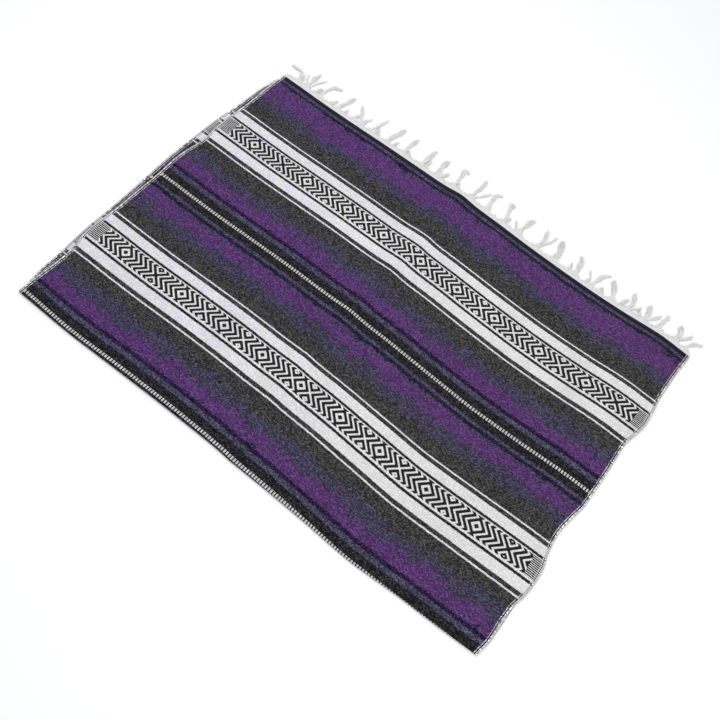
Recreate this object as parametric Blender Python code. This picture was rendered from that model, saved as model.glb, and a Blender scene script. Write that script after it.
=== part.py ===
"""A striped handloom blanket, folded once across its length and laid flat.

The blanket is one woven length. It is folded near its middle, so an upper leaf lies on a lower
leaf, joined by a soft round fold at the near edge. The far edge holds the two ends of the length.
Each end has a narrow white heading with loose tassels, the warp's own ends.

Plan coordinates: u runs along the fold from the nominal left selvage, v runs from the middle of the
dotted stripe at the fold towards the fringe. Tables are in millimetres, everything else in metres.
At the end the whole part is moved so that the middle of its underside is the origin, with +X along
the fold, +Y towards the fringe and +Z up.
"""

import math
from typing import Callable, NamedTuple

import bmesh
import bpy

MM = 0.001

# Woven size
CLOTH_WIDTH = 1270 * MM
UPPER_HEM = 935 * MM
HEM_STAGGER = 24 * MM
LOWER_HEM = UPPER_HEM - HEM_STAGGER
CLOTH_THICKNESS = 2.4 * MM
LEAF_GAP = 0.4 * MM

# The soft fold: how much higher than two flat leaves it stands, and how far back it lies down again
FOLD_SWELL = 2.4 * MM
FOLD_RUN = 48 * MM
FOLD_LOOSE_SHARE = 0.5
LOWER_SETTLE_SHARE = 1 / 12

# Heading: a narrow strip whose far corners are drawn in
SEAM = 0.3 * MM
HEADING_WIDTH = 18 * MM
HEADING_THICKNESS = 2.0 * MM
HEADING_END_SHARE = 0.3
HEADING_END_RUN = 16 * MM

# Fringe: locks that lie on the floor, the upper ones first across the lower ones
LOWER_LOCKS = 24
LOWER_PITCH = CLOTH_WIDTH / (LOWER_LOCKS + 1)
LOWER_REACH = 54 * MM
LOWER_REACH_SPREAD = 0.22
LOWER_BEND = -0.3
LOWER_LOCK_WIDTH = 8 * MM
LOCK_HEIGHT_SHARE = 0.26
LOCK_MAX_HEIGHT = 1.4 * MM
LOWER_LOCK_HEIGHT = 1.0 * MM
ROOT_MAX_WIDTH = 7 * MM
UNDERSIDE_SHARE = 0.6
LOCK_TOP_SHARE = 0.6
LOCK_MIN_HEIGHT = 0.4
FLOOR_CLEARANCE = 0.4 * MM
OVER_LOWER_FRINGE = 3.5 * MM
DROP_START = 984 * MM
CORNER_DROP_START = 958 * MM
DROP_RUN = 30 * MM
LOCK_TURNS = 1.4
LOCK_CURL = 0.3
FORK_GAP = 3 * MM
FORK_MIDDLE_SHARE = 0.2
FORK_TIP_SHARE = 0.8
FORK_WIDTH_SHARE = 0.4
FORK_HEIGHT_SHARE = 0.6
FORK_FOLLOW = 0.6
WISP_WIDTH = 2.6 * MM
WISP_GAP = 1.2 * MM
WISP_SPREAD = 9 * MM
WISP_MIDDLE_SHARE = 0.4
WISP_REACH_SHARE = 0.72
WISP_FREE_FOLLOW = 0.5

# Mesh stations, crowded towards the fold by a power
ACROSS = 42
UPPER_STATIONS = 34
UPPER_CROWDING = 1.2
LOWER_STATIONS = 10
LOWER_CROWDING = 1.4
FOLD_STATIONS = 6
SHARP_DEGREES = 50


class Side(NamedTuple):
    """Where the selvages lie at one distance v from the fold, in mm (left ones from u = 0)."""

    v: float
    left: float
    right: float
    low_left: float
    low_right: float


SIDES = (
    Side(v=-9, left=-4.0, right=1268.0, low_left=-5.0, low_right=1268.0),
    Side(v=40, left=-4.5, right=1274.5, low_left=-15.5, low_right=1277.0),
    Side(v=90, left=-3.0, right=1272.5, low_left=-15.0, low_right=1276.0),
    Side(v=125, left=-2.0, right=1273.0, low_left=-16.0, low_right=1275.0),
    Side(v=165, left=-5.0, right=1280.0, low_left=-19.0, low_right=1273.0),
    Side(v=200, left=-13.0, right=1282.5, low_left=-22.0, low_right=1272.0),
    Side(v=235, left=-15.0, right=1281.0, low_left=-23.5, low_right=1270.0),
    Side(v=280, left=-12.5, right=1270.0, low_left=-23.0, low_right=1266.0),
    Side(v=330, left=-12.0, right=1264.0, low_left=-25.0, low_right=1262.0),
    Side(v=380, left=-13.5, right=1269.0, low_left=-26.5, low_right=1263.0),
    Side(v=430, left=-13.0, right=1276.5, low_left=-29.0, low_right=1268.0),
    Side(v=530, left=-16.5, right=1275.5, low_left=-33.0, low_right=1272.0),
    Side(v=620, left=-8.0, right=1272.0, low_left=-32.0, low_right=1273.0),
    Side(v=665, left=-12.0, right=1280.0, low_left=-31.5, low_right=1274.0),
    Side(v=700, left=-12.5, right=1285.0, low_left=-30.0, low_right=1276.0),
    Side(v=750, left=-10.5, right=1282.0, low_left=-25.0, low_right=1277.0),
    Side(v=800, left=-8.0, right=1276.5, low_left=-22.5, low_right=1278.5),
    Side(v=860, left=-8.5, right=1276.0, low_left=-19.0, low_right=1278.0),
    Side(v=935, left=-5.0, right=1279.0, low_left=-9.0, low_right=1276.0),
)


class Crossing(NamedTuple):
    """Lines that run along the fold, at one place u: the fold's edge, and the stripes' drift in mm."""

    u: float
    fold: float
    near: float
    far: float


CROSSINGS = (
    Crossing(u=0, fold=-7.0, near=0.0, far=0.0),
    Crossing(u=150, fold=-10.0, near=0.0, far=0.0),
    Crossing(u=300, fold=-7.0, near=3.3, far=2.5),
    Crossing(u=450, fold=-4.7, near=4.8, far=5.3),
    Crossing(u=530, fold=-4.7, near=4.2, far=7.5),
    Crossing(u=580, fold=-5.3, near=4.4, far=10.5),
    Crossing(u=630, fold=-8.0, near=2.0, far=7.0),
    Crossing(u=700, fold=-8.3, near=0.2, far=5.0),
    Crossing(u=820, fold=-11.0, near=-6.0, far=1.0),
    Crossing(u=950, fold=-16.3, near=-12.8, far=-0.5),
    Crossing(u=1080, fold=-10.0, near=-10.0, far=3.5),
    Crossing(u=1190, fold=-7.5, near=-7.5, far=9.0),
    Crossing(u=1270, fold=-4.0, near=-5.0, far=6.5),
)
NEAR_LINE = 156 * MM


class Swell(NamedTuple):
    """A long soft rise of the upper leaf that runs from the fold to the fringe, in mm."""

    u: float
    half_width: float
    near_height: float
    far_height: float


SWELLS = (
    Swell(u=30, half_width=60, near_height=0.8, far_height=1.2),
    Swell(u=400, half_width=130, near_height=2.8, far_height=1.8),
    Swell(u=580, half_width=38, near_height=1.2, far_height=3.2),
    Swell(u=665, half_width=95, near_height=0.6, far_height=1.6),
    Swell(u=1190, half_width=80, near_height=1.4, far_height=3.4),
)


class Wave(NamedTuple):
    """A soft rise of the upper leaf of limited length both ways, in mm."""

    u: float
    v: float
    half_u: float
    half_v: float
    height: float


WAVES = (
    Wave(u=1230, v=700, half_u=120, half_v=55, height=1.6),
    Wave(u=1230, v=205, half_u=110, half_v=60, height=1.5),
    Wave(u=20, v=540, half_u=110, half_v=70, height=1.4),
    Wave(u=10, v=225, half_u=100, half_v=55, height=1.2),
    Wave(u=860, v=430, half_u=170, half_v=75, height=1.0),
    Wave(u=250, v=760, half_u=160, half_v=60, height=0.9),
)


class Tassel(NamedTuple):
    """One lock of the upper fringe: its root, then sideways offsets and lengths from it, in mm."""

    root: float
    middle: float
    tip: float
    reach: float
    width: float
    fork_tip: float = 0.0
    fork_reach: float = 0.0


TASSELS = (
    Tassel(root=14, middle=-8, tip=-34, reach=36, width=11),
    Tassel(root=67, middle=-1, tip=-7, reach=62, width=9, fork_tip=17, fork_reach=50),
    Tassel(root=113, middle=-3, tip=17, reach=58, width=12),
    Tassel(root=169, middle=6, tip=9, reach=66, width=10),
    Tassel(root=235, middle=-9, tip=-27, reach=58, width=8, fork_tip=20, fork_reach=38),
    Tassel(root=279, middle=4, tip=7, reach=66, width=7),
    Tassel(root=332, middle=4, tip=8, reach=70, width=12),
    Tassel(root=389, middle=5, tip=-2, reach=70, width=11),
    Tassel(root=443, middle=3, tip=-4, reach=83, width=12),
    Tassel(root=496, middle=-9, tip=-5, reach=72, width=14),
    Tassel(root=543, middle=-2, tip=-6, reach=75, width=10),
    Tassel(root=596, middle=5, tip=6, reach=82, width=11, fork_tip=34, fork_reach=58),
    Tassel(root=650, middle=1, tip=4, reach=75, width=10),
    Tassel(root=705, middle=-4, tip=-18, reach=72, width=11),
    Tassel(root=753, middle=2, tip=11, reach=66, width=12, fork_tip=-18, fork_reach=34),
    Tassel(root=807, middle=8, tip=4, reach=63, width=9, fork_tip=24, fork_reach=60),
    Tassel(root=868, middle=-4, tip=-14, reach=65, width=13),
    Tassel(root=925, middle=3, tip=-5, reach=58, width=13),
    Tassel(root=975, middle=12, tip=20, reach=56, width=12, fork_tip=-15, fork_reach=36),
    Tassel(root=1039, middle=-8, tip=-19, reach=52, width=12),
    Tassel(root=1080, middle=6, tip=3, reach=52, width=10),
    Tassel(root=1130, middle=-2, tip=-9, reach=53, width=10, fork_tip=19, fork_reach=42),
    Tassel(root=1172, middle=8, tip=8, reach=58, width=8),
    Tassel(root=1214, middle=2, tip=-3, reach=52, width=12, fork_tip=20, fork_reach=48),
    Tassel(root=1252, middle=12, tip=33, reach=40, width=8),
)

# Sideways lean of the lower fringe's locks, repeated along it
LOWER_LEANS = (-9 * MM, 6 * MM, 12 * MM, -5 * MM, 3 * MM, -12 * MM, 8 * MM)

# How wide a loosely twisted lock is at each station after its root, as a share of its full width
LOCK_SHAPE = (0.8, 1.0, 0.78, 0.98, 0.74, 0.9, 0.5)
SHORT_LOCK_SHAPE = (0.9, 1.0, 0.75, 0.9, 0.45)
WISP_SHAPE = (1.0, 0.9, 0.8, 0.35)


def read(rows, key, column, at):
    """Reads one column of a table at a place in metres, along a smooth line that never overshoots."""
    places = [getattr(row, key) * MM for row in rows]
    values = [getattr(row, column) * MM for row in rows]
    at = min(max(at, places[0]), places[-1])
    last = len(rows) - 2
    i = next((n for n in range(last) if at <= places[n + 1]), last)

    def secant(n):
        return (values[n + 1] - values[n]) / (places[n + 1] - places[n])

    def slope(n):
        if n in (0, len(rows) - 1):
            return 0.0
        before = secant(n - 1)
        after = secant(n)
        if before * after <= 0.0:
            return 0.0
        return 2.0 * before * after / (before + after)

    span = places[i + 1] - places[i]
    t = (at - places[i]) / span
    rise = values[i] * (1 + 2 * t) * (1 - t) ** 2 + values[i + 1] * t * t * (3 - 2 * t)
    return rise + span * (slope(i) * t * (1 - t) ** 2 - slope(i + 1) * t * t * (1 - t))


def bell(offset, half_width):
    """A smooth rise of height 1 that falls away on both sides."""
    return math.exp(-((offset / half_width) ** 2))


def lerp(start, end, share):
    """The value a share of the way from start to end."""
    return start + (end - start) * share


def drift(u, v):
    """How far a stripe has strayed towards the fringe at one place of a leaf."""
    share = min(max((v - NEAR_LINE) / (UPPER_HEM - NEAR_LINE), 0.0), 1.0)
    near = read(CROSSINGS, "u", "near", u)
    far = read(CROSSINGS, "u", "far", u)
    return lerp(near, far, share)


def fold_edge(u):
    """The v of the fold's outermost line."""
    return read(CROSSINGS, "u", "fold", u)


def hem_edge(u, hem):
    """The v of a leaf's cut end."""
    return hem + drift(u, UPPER_HEM) * (hem / UPPER_HEM)


def loose_rise(u, v):
    """How far the upper leaf stands off the lower one away from the fold."""
    share = min(max(v / UPPER_HEM, 0.0), 1.0)
    rise = 0.0
    for swell in SWELLS:
        height = lerp(swell.near_height, swell.far_height, share) * MM
        rise += height * bell(u - swell.u * MM, swell.half_width * MM)
    for wave in WAVES:
        along = bell(u - wave.u * MM, wave.half_u * MM)
        rise += wave.height * MM * along * bell(v - wave.v * MM, wave.half_v * MM)
    return rise


def upper_rise(u, v):
    """How far the upper leaf stands off the lower one, with the fold's own roundness."""
    hold = bell(max(v - fold_edge(u), 0.0), FOLD_RUN)
    return lerp(loose_rise(u, v), FOLD_SWELL + FOLD_LOOSE_SHARE * loose_rise(u, v), hold)


def upper_middle(u, v):
    """The height of the upper leaf's middle surface."""
    return 1.5 * CLOTH_THICKNESS + LEAF_GAP + upper_rise(u, v)


def fold_radius(u):
    """The fold's radius at the cloth's middle surface."""
    return (upper_middle(u, fold_edge(u)) - CLOTH_THICKNESS / 2) / 2


def plan_x(share, v, left_column, right_column):
    """The u of a point a share of the way between two selvages."""
    left = read(SIDES, "v", left_column, v)
    right = read(SIDES, "v", right_column, v)
    return lerp(left, right, share)


def upper_point(share, along):
    """Centre and outward direction of the upper leaf; along is 0 at the fold and 1 at the hem."""
    u = share * CLOTH_WIDTH
    start = fold_edge(u) + fold_radius(u) + CLOTH_THICKNESS / 2
    v = lerp(start, hem_edge(u, UPPER_HEM), along)
    return (plan_x(share, v, "left", "right"), v, upper_middle(u, v)), (0.0, 1.0)


def lower_point(share, along):
    """Centre and outward direction of the lower leaf, which lies flat on the surface."""
    u = share * CLOTH_WIDTH
    start = fold_edge(u) + fold_radius(u) + CLOTH_THICKNESS / 2
    v = lerp(start, hem_edge(u, LOWER_HEM), along)
    settle = min(along / LOWER_SETTLE_SHARE, 1.0)
    x = lerp(plan_x(share, v, "left", "right"), plan_x(share, v, "low_left", "low_right"), settle)
    return (x, v, CLOTH_THICKNESS / 2), (0.0, -1.0)


def fold_point(share, turn):
    """Centre and outward direction in the fold; turn is 0 at the upper leaf and 1 at the lower."""
    u = share * CLOTH_WIDTH
    radius = fold_radius(u)
    centre = fold_edge(u) + radius + CLOTH_THICKNESS / 2
    angle = math.pi * turn
    out = (-math.sin(angle), math.cos(angle))
    v = centre + out[0] * radius
    z = CLOTH_THICKNESS / 2 + radius + out[1] * radius
    return (plan_x(share, v, "left", "right"), v, z), out


def cloth_lines():
    """The stations of the whole length, from the upper hem round the fold to the lower hem."""
    lines = []
    for k in range(UPPER_STATIONS):
        along = 1.0 - k / UPPER_STATIONS
        lines.append((upper_point, along ** UPPER_CROWDING))
    for k in range(FOLD_STATIONS):
        lines.append((fold_point, k / FOLD_STATIONS))
    for k in range(LOWER_STATIONS + 1):
        lines.append((lower_point, (k / LOWER_STATIONS) ** LOWER_CROWDING))
    return lines


def add_wall(bm, lines, outward):
    """Adds one face of the cloth as a grid shaped by the stations, and returns its edge loop."""
    rows = len(lines) - 1
    grid = bmesh.ops.create_grid(bm, x_segments=ACROSS, y_segments=rows, size=1.0)
    for vert in grid["verts"]:
        share = round((vert.co.x + 1.0) / 2.0 * ACROSS) / ACROSS
        station = round((vert.co.y + 1.0) / 2.0 * rows)
        place, along = lines[station]
        (x, y, z), out = place(share, along)
        offset = outward * CLOTH_THICKNESS / 2
        vert.co = (x, y + out[0] * offset, z + out[1] * offset)
    return {edge for vert in grid["verts"] for edge in vert.link_edges if edge.is_boundary}


def build_cloth():
    """The folded length as one closed wall."""
    bm = bmesh.new()
    lines = cloth_lines()
    outer = add_wall(bm, lines, 1.0)
    inner = add_wall(bm, lines, -1.0)
    bmesh.ops.bridge_loops(bm, edges=list(outer | inner))
    bmesh.ops.recalc_face_normals(bm, faces=bm.faces)
    return bm


class Strand(NamedTuple):
    """One lock of fringe in metres: root, sideways offsets, reach past the heading, full sizes."""

    root: float
    middle: float
    tip: float
    reach: float
    width: float
    height: float
    shape: tuple


def wisp_beside(lock, side):
    """A thin strand that leaves the heading just beside a lock and spreads away from it."""
    gap = min(lock.width, ROOT_MAX_WIDTH) / 2 + WISP_GAP + WISP_WIDTH / 2
    follow = 1.0 if side * lock.tip > 0 else WISP_FREE_FOLLOW
    return Strand(
        root=lock.root + side * gap,
        middle=lock.middle * follow + side * WISP_SPREAD * WISP_MIDDLE_SHARE,
        tip=lock.tip * follow + side * WISP_SPREAD,
        reach=lock.reach * WISP_REACH_SHARE,
        width=WISP_WIDTH,
        height=LOCK_MAX_HEIGHT / 2,
        shape=WISP_SHAPE,
    )


def upper_strands():
    """The upper fringe's locks, their forks and their wisps, from left to right."""
    strands = []
    for tassel in TASSELS:
        width = tassel.width * MM
        lock = Strand(
            root=tassel.root * MM,
            middle=tassel.middle * MM,
            tip=tassel.tip * MM,
            reach=tassel.reach * MM,
            width=width,
            height=min(LOCK_HEIGHT_SHARE * width, LOCK_MAX_HEIGHT),
            shape=LOCK_SHAPE,
        )
        strands.append(lock)
        free_side = -math.copysign(1.0, tassel.tip)
        if tassel.fork_reach:
            side = math.copysign(1.0, tassel.fork_tip)
            fork = lock._replace(
                root=lock.root + side * (min(width, ROOT_MAX_WIDTH) / 2 + FORK_GAP),
                middle=tassel.fork_tip * MM * FORK_MIDDLE_SHARE + lock.middle * FORK_FOLLOW,
                tip=tassel.fork_tip * MM * FORK_TIP_SHARE,
                reach=tassel.fork_reach * MM,
                width=width * FORK_WIDTH_SHARE,
                height=lock.height * FORK_HEIGHT_SHARE,
                shape=SHORT_LOCK_SHAPE,
            )
            strands.append(fork)
            free_side = -side
        strands.append(wisp_beside(lock, free_side))
    return sorted(strands, key=lambda strand: strand.root)


def lower_strands():
    """The lower fringe's locks, every second one with a wisp."""
    strands = []
    for n in range(LOWER_LOCKS):
        lean = LOWER_LEANS[n % len(LOWER_LEANS)]
        lock = Strand(
            root=(n + 1) * LOWER_PITCH,
            middle=lean * LOWER_BEND,
            tip=lean,
            reach=LOWER_REACH * (1.0 - LOWER_REACH_SPREAD * (n % 4) / 3),
            width=LOWER_LOCK_WIDTH,
            height=LOWER_LOCK_HEIGHT,
            shape=SHORT_LOCK_SHAPE,
        )
        strands.append(lock)
        if n % 2:
            strands.append(wisp_beside(lock, -math.copysign(1.0, lean)))
    return sorted(strands, key=lambda strand: strand.root)


class Heading(NamedTuple):
    """What carries one fringe: its leaf's hem and face, and how it lies."""

    hem: float
    leaf_point: Callable
    lift: float
    lies_low: bool


def heading_point(heading, u, share):
    """A point of a heading's middle surface; share is 0 at the seam and 1 at its far side."""
    station = min(max(u / CLOTH_WIDTH * ACROSS, 0.0), ACROSS - 1e-9)
    first = math.floor(station)
    start, _ = heading.leaf_point(first / ACROSS, 1.0)
    end, _ = heading.leaf_point((first + 1) / ACROSS, 1.0)
    x, v, z = (lerp(a, b, station - first) for a, b in zip(start, end))
    from_end = min(u, CLOTH_WIDTH - u, HEADING_END_RUN) / HEADING_END_RUN
    width = HEADING_WIDTH * lerp(HEADING_END_SHARE, 1.0, max(from_end, 0.0))
    return x, v + SEAM + width * share, z + heading.lift


def smooth_step(value):
    """Eases a share from 0 to 1, and holds it there outside that span."""
    share = min(max(value, 0.0), 1.0)
    return share * share * (3 - 2 * share)


def strand_level(heading, strand, v, start):
    """The height of a lock's middle: across the lower fringe first, then down to the floor."""
    floor = FLOOR_CLEARANCE + UNDERSIDE_SHARE * strand.height
    far_side = heading.hem + HEADING_WIDTH
    if heading.lies_low:
        return lerp(start, floor, smooth_step((v - far_side) / (LOWER_REACH / 2)))
    level = lerp(start, OVER_LOWER_FRINGE, smooth_step((v - far_side) / HEADING_WIDTH))
    at_corner = not LOWER_PITCH / 2 < strand.root < CLOTH_WIDTH - LOWER_PITCH / 2
    drop_start = CORNER_DROP_START if at_corner else DROP_START
    return lerp(level, floor, smooth_step((v - drop_start) / DROP_RUN))


def grow_strand(bm, face, heading, strand):
    """Draws one lock out of a cell of the heading's far side, station by station."""
    x0, v0, z0 = heading_point(heading, strand.root, 1.0)
    low = -UNDERSIDE_SHARE
    corners = ((-1, low), (1, low), (LOCK_TOP_SHARE, 1), (-LOCK_TOP_SHARE, 1))
    for n, size in enumerate(strand.shape, start=1):
        share = n / len(strand.shape)
        phase = math.tau * LOCK_TURNS * share + strand.root / MM
        curl = LOCK_CURL * strand.width / 2 * share * math.sin(phase)
        side = 4 * share * (1 - share) * strand.middle + share * share * strand.tip + curl
        slant = 4 * (1 - 2 * share) * strand.middle + 2 * share * strand.tip
        angle = math.atan2(slant, strand.reach)
        v = v0 + share * strand.reach
        z = strand_level(heading, strand, v, z0)
        half = strand.width / 2 * size
        tall = strand.height * max(size, LOCK_MIN_HEIGHT)
        grown = bmesh.ops.extrude_face_region(bm, geom=[face])["geom"]
        bm.faces.remove(face)
        face = next(item for item in grown if isinstance(item, bmesh.types.BMFace))
        for vert, (across, up) in zip(in_order(face), corners):
            vert.co.x = x0 + side + across * half * math.cos(angle)
            vert.co.y = v - across * half * math.sin(angle)
            vert.co.z = z + up * tall


def in_order(face):
    """A cell's corners: lower left, lower right, upper right, upper left."""
    middle = face.calc_center_median()
    low = sorted((vert for vert in face.verts if vert.co.z < middle.z), key=lambda vert: vert.co.x)
    high = sorted((vert for vert in face.verts if vert.co.z >= middle.z), key=lambda vert: -vert.co.x)
    return low + high


def heading_stations(strands):
    """Places along a heading where its cells end: both sides of each lock, and the hem's stations."""
    cells = []
    for strand in strands:
        half = min(strand.width, ROOT_MAX_WIDTH) / 2
        cells.append((strand.root - half, strand.root + half))
    places = [place for cell in cells for place in cell]
    for n in range(ACROSS + 1):
        u = n / ACROSS * CLOTH_WIDTH
        if all(u < start - MM or u > end + MM for start, end in cells):
            places.append(u)
    return sorted(places)


def build_fringe(heading, strands):
    """A narrow heading just off a leaf's hem, with its locks drawn out of its far side."""
    bm = bmesh.new()
    places = heading_stations(strands)
    count = len(places) - 1
    bmesh.ops.create_cube(bm, size=2.0)
    length_edges = [edge for edge in bm.edges if abs(edge.verts[0].co.x - edge.verts[1].co.x) > 1]
    bmesh.ops.subdivide_edges(bm, edges=length_edges, cuts=count - 1, use_grid_fill=True)
    for vert in bm.verts:
        station = round((vert.co.x + 1.0) / 2.0 * count)
        x, y, z = heading_point(heading, places[station], (vert.co.y + 1.0) / 2.0)
        vert.co = (x, y, z + vert.co.z * HEADING_THICKNESS / 2)
    bm.normal_update()
    facing = [face for face in bm.faces if face.normal.y > abs(face.normal.z)]
    far_cells = {face: face.calc_center_median().x for face in facing}
    for strand in strands:
        x = heading_point(heading, strand.root, 1.0)[0]
        face = min(far_cells, key=lambda cell: abs(far_cells[cell] - x))
        del far_cells[face]
        grow_strand(bm, face, heading, strand)
    bmesh.ops.recalc_face_normals(bm, faces=bm.faces)
    return bm


def make_material(name, colour, roughness):
    """A plain woven finish."""
    material = bpy.data.materials.new(name)
    material.use_nodes = True
    shader = material.node_tree.nodes["Principled BSDF"]
    shader.inputs["Base Color"].default_value = (*colour, 1.0)
    shader.inputs["Roughness"].default_value = roughness
    shader.inputs["Metallic"].default_value = 0.0
    return material


def add_object(name, bm, material):
    """Makes a mesh a named object of the scene."""
    mesh = bpy.data.meshes.new(name)
    bm.to_mesh(mesh)
    bm.free()
    mesh.materials.append(material)
    mesh.shade_smooth()
    mesh.set_sharp_from_angle(angle=math.radians(SHARP_DEGREES))
    obj = bpy.data.objects.new(name, mesh)
    bpy.context.scene.collection.objects.link(obj)
    return obj


def centre_on_underside(objects):
    """Moves every mesh so that the middle of the part's underside is the origin."""
    points = [vert.co for obj in objects for vert in obj.data.vertices]
    low = [min(point[axis] for point in points) for axis in range(3)]
    high = [max(point[axis] for point in points) for axis in range(3)]
    middle = ((low[0] + high[0]) / 2, (low[1] + high[1]) / 2, low[2])
    for obj in objects:
        for vert in obj.data.vertices:
            vert.co = [vert.co[axis] - middle[axis] for axis in range(3)]


def main():
    """Builds the blanket."""
    for obj in list(bpy.data.objects):
        bpy.data.objects.remove(obj, do_unlink=True)
    weave = make_material("striped_weave", (0.10, 0.04, 0.17), 0.95)
    cotton = make_material("warp_cotton", (0.70, 0.70, 0.70), 0.95)
    upper = Heading(hem=UPPER_HEM, leaf_point=upper_point, lift=0.0, lies_low=False)
    low_lift = FLOOR_CLEARANCE + (HEADING_THICKNESS - CLOTH_THICKNESS) / 2
    lower = Heading(hem=LOWER_HEM, leaf_point=lower_point, lift=low_lift, lies_low=True)
    parts = [
        add_object("cloth", build_cloth(), weave),
        add_object("fringe_upper", build_fringe(upper, upper_strands()), cotton),
        add_object("fringe_lower", build_fringe(lower, lower_strands()), cotton),
    ]
    centre_on_underside(parts)


main()
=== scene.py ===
"""The looks of a striped handloom blanket, folded once across its length and laid flat.

Plan coordinates: u runs along the fold from the nominal left selvage, v runs from the dotted stripe at
the fold towards the fringe. Weave coordinates: t runs along a weft from selvage to selvage, s runs
along the warp from the middle of that dotted stripe, and is negative on the lower leaf. Tables are in
millimetres, everything else in metres.
"""

import logging
import math
import random
from dataclasses import dataclass, field
from enum import Enum
from typing import Callable, NamedTuple, Sequence, Union

import bmesh
import bpy
import numpy as np
from mathutils import Matrix, Vector

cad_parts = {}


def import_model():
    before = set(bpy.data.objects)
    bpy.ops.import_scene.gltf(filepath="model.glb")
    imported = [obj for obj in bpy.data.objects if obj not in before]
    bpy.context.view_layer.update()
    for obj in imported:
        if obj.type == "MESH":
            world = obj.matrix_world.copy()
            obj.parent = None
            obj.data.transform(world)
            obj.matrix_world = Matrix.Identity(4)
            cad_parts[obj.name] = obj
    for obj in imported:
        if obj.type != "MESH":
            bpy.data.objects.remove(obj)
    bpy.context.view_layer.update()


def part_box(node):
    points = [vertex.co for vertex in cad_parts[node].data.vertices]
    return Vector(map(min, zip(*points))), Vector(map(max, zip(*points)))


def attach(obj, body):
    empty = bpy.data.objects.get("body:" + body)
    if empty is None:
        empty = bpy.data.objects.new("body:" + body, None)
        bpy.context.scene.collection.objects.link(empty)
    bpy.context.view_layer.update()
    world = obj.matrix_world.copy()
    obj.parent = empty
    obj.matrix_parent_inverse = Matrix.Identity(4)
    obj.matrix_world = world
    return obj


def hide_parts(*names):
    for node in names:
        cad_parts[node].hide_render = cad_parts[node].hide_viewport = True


MM = 0.001

log = logging.getLogger("blanket")

Array = np.ndarray
Numbers = Union[float, np.ndarray]
Mesh = bpy.types.Mesh
Material = bpy.types.Material
Object = bpy.types.Object
Triple = tuple[float, float, float]
Colour = Triple
Operand = Union[float, "Value"]
Tint = Union["Value", Colour]
Line = tuple[Array, Numbers]
Stops = Sequence[tuple[float, tuple[float, ...]]]
Shaper = Callable[[Array, Array, Array], tuple[Array, Array]]


class Side(NamedTuple):
    """Where the selvages lie at one distance v from the fold, in mm (left ones from u = 0)."""

    v: float
    left: float
    right: float
    low_left: float
    low_right: float


class Crossing(NamedTuple):
    """Lines that run along the fold, at one place u: the fold's edge and the stripes' drift in mm."""

    u: float
    fold: float
    near: float
    far: float
    turn: float


class Swell(NamedTuple):
    """A long soft rise of the upper leaf that runs from the fold to the fringe, in mm."""

    u: float
    half_width: float
    near_height: float
    far_height: float


class Wave(NamedTuple):
    """A soft rise of the upper leaf of limited length both ways, in mm."""

    u: float
    v: float
    half_u: float
    half_v: float
    height: float


class Crease(NamedTuple):
    """A soft ridge, or a trough where its height is negative, between two plan points, in mm."""

    u_start: float
    v_start: float
    u_end: float
    v_end: float
    half_width: float
    height: float


class Tassel(NamedTuple):
    """One tassel of the upper fringe: its root, and sideways offsets and lengths from it, in mm.

    The hook is how far its last part bends aside.
    """

    root: float
    middle: float
    tip: float
    reach: float
    width: float
    hook: float = 0.0
    fork_tip: float = 0.0
    fork_reach: float = 0.0


SIDES = (
    Side(-9, -4.0, 1268.0, -5.0, 1268.0),
    Side(40, -4.5, 1274.5, -15.5, 1277.0),
    Side(90, -3.0, 1272.5, -15.0, 1276.0),
    Side(125, -2.0, 1273.0, -16.0, 1275.0),
    Side(165, -5.0, 1280.0, -19.0, 1273.0),
    Side(200, -13.0, 1282.5, -22.0, 1272.0),
    Side(235, -15.0, 1281.0, -23.5, 1270.0),
    Side(280, -12.5, 1270.0, -23.0, 1266.0),
    Side(330, -12.0, 1264.0, -25.0, 1262.0),
    Side(380, -13.5, 1269.0, -26.5, 1263.0),
    Side(430, -13.0, 1276.5, -29.0, 1268.0),
    Side(530, -16.5, 1275.5, -33.0, 1272.0),
    Side(620, -8.0, 1272.0, -32.0, 1273.0),
    Side(665, -12.0, 1280.0, -31.5, 1274.0),
    Side(700, -12.5, 1285.0, -30.0, 1276.0),
    Side(750, -10.5, 1282.0, -25.0, 1277.0),
    Side(800, -8.0, 1276.5, -22.5, 1278.5),
    Side(860, -8.5, 1276.0, -19.0, 1278.0),
    Side(935, -5.0, 1279.0, -9.0, 1276.0),
)

CROSSINGS = (
    Crossing(0, -7.0, 0.0, 0.0, 5.0),
    Crossing(150, -10.0, 0.0, 0.0, 0.0),
    Crossing(300, -7.0, 3.3, 2.5, 1.0),
    Crossing(450, -4.7, 4.8, 5.3, 1.2),
    Crossing(530, -4.7, 4.2, 7.5, 1.2),
    Crossing(580, -5.3, 4.4, 10.5, -0.4),
    Crossing(630, -8.0, 2.0, 7.0, -1.3),
    Crossing(700, -8.3, 0.2, 5.0, -0.8),
    Crossing(820, -11.0, -6.0, 1.0, -0.6),
    Crossing(950, -16.3, -12.8, -0.5, -1.2),
    Crossing(1080, -10.0, -10.0, 3.5, -0.7),
    Crossing(1190, -7.5, -7.5, 9.0, -1.0),
    Crossing(1270, -4.0, -5.0, 6.5, -2.3),
)

SWELLS = (
    Swell(30, 60, 0.8, 1.2),
    Swell(400, 130, 2.8, 1.8),
    Swell(580, 38, 0.2, 3.2),
    Swell(665, 95, 0.6, 1.6),
    Swell(1190, 80, 1.4, 3.4),
)

WAVES = (
    Wave(1230, 700, 120, 55, 1.6),
    Wave(1230, 205, 110, 60, 1.5),
    Wave(20, 540, 110, 70, 1.4),
    Wave(10, 225, 100, 55, 1.2),
    Wave(860, 430, 170, 75, 1.0),
    Wave(250, 760, 160, 60, 0.9),
)

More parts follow.
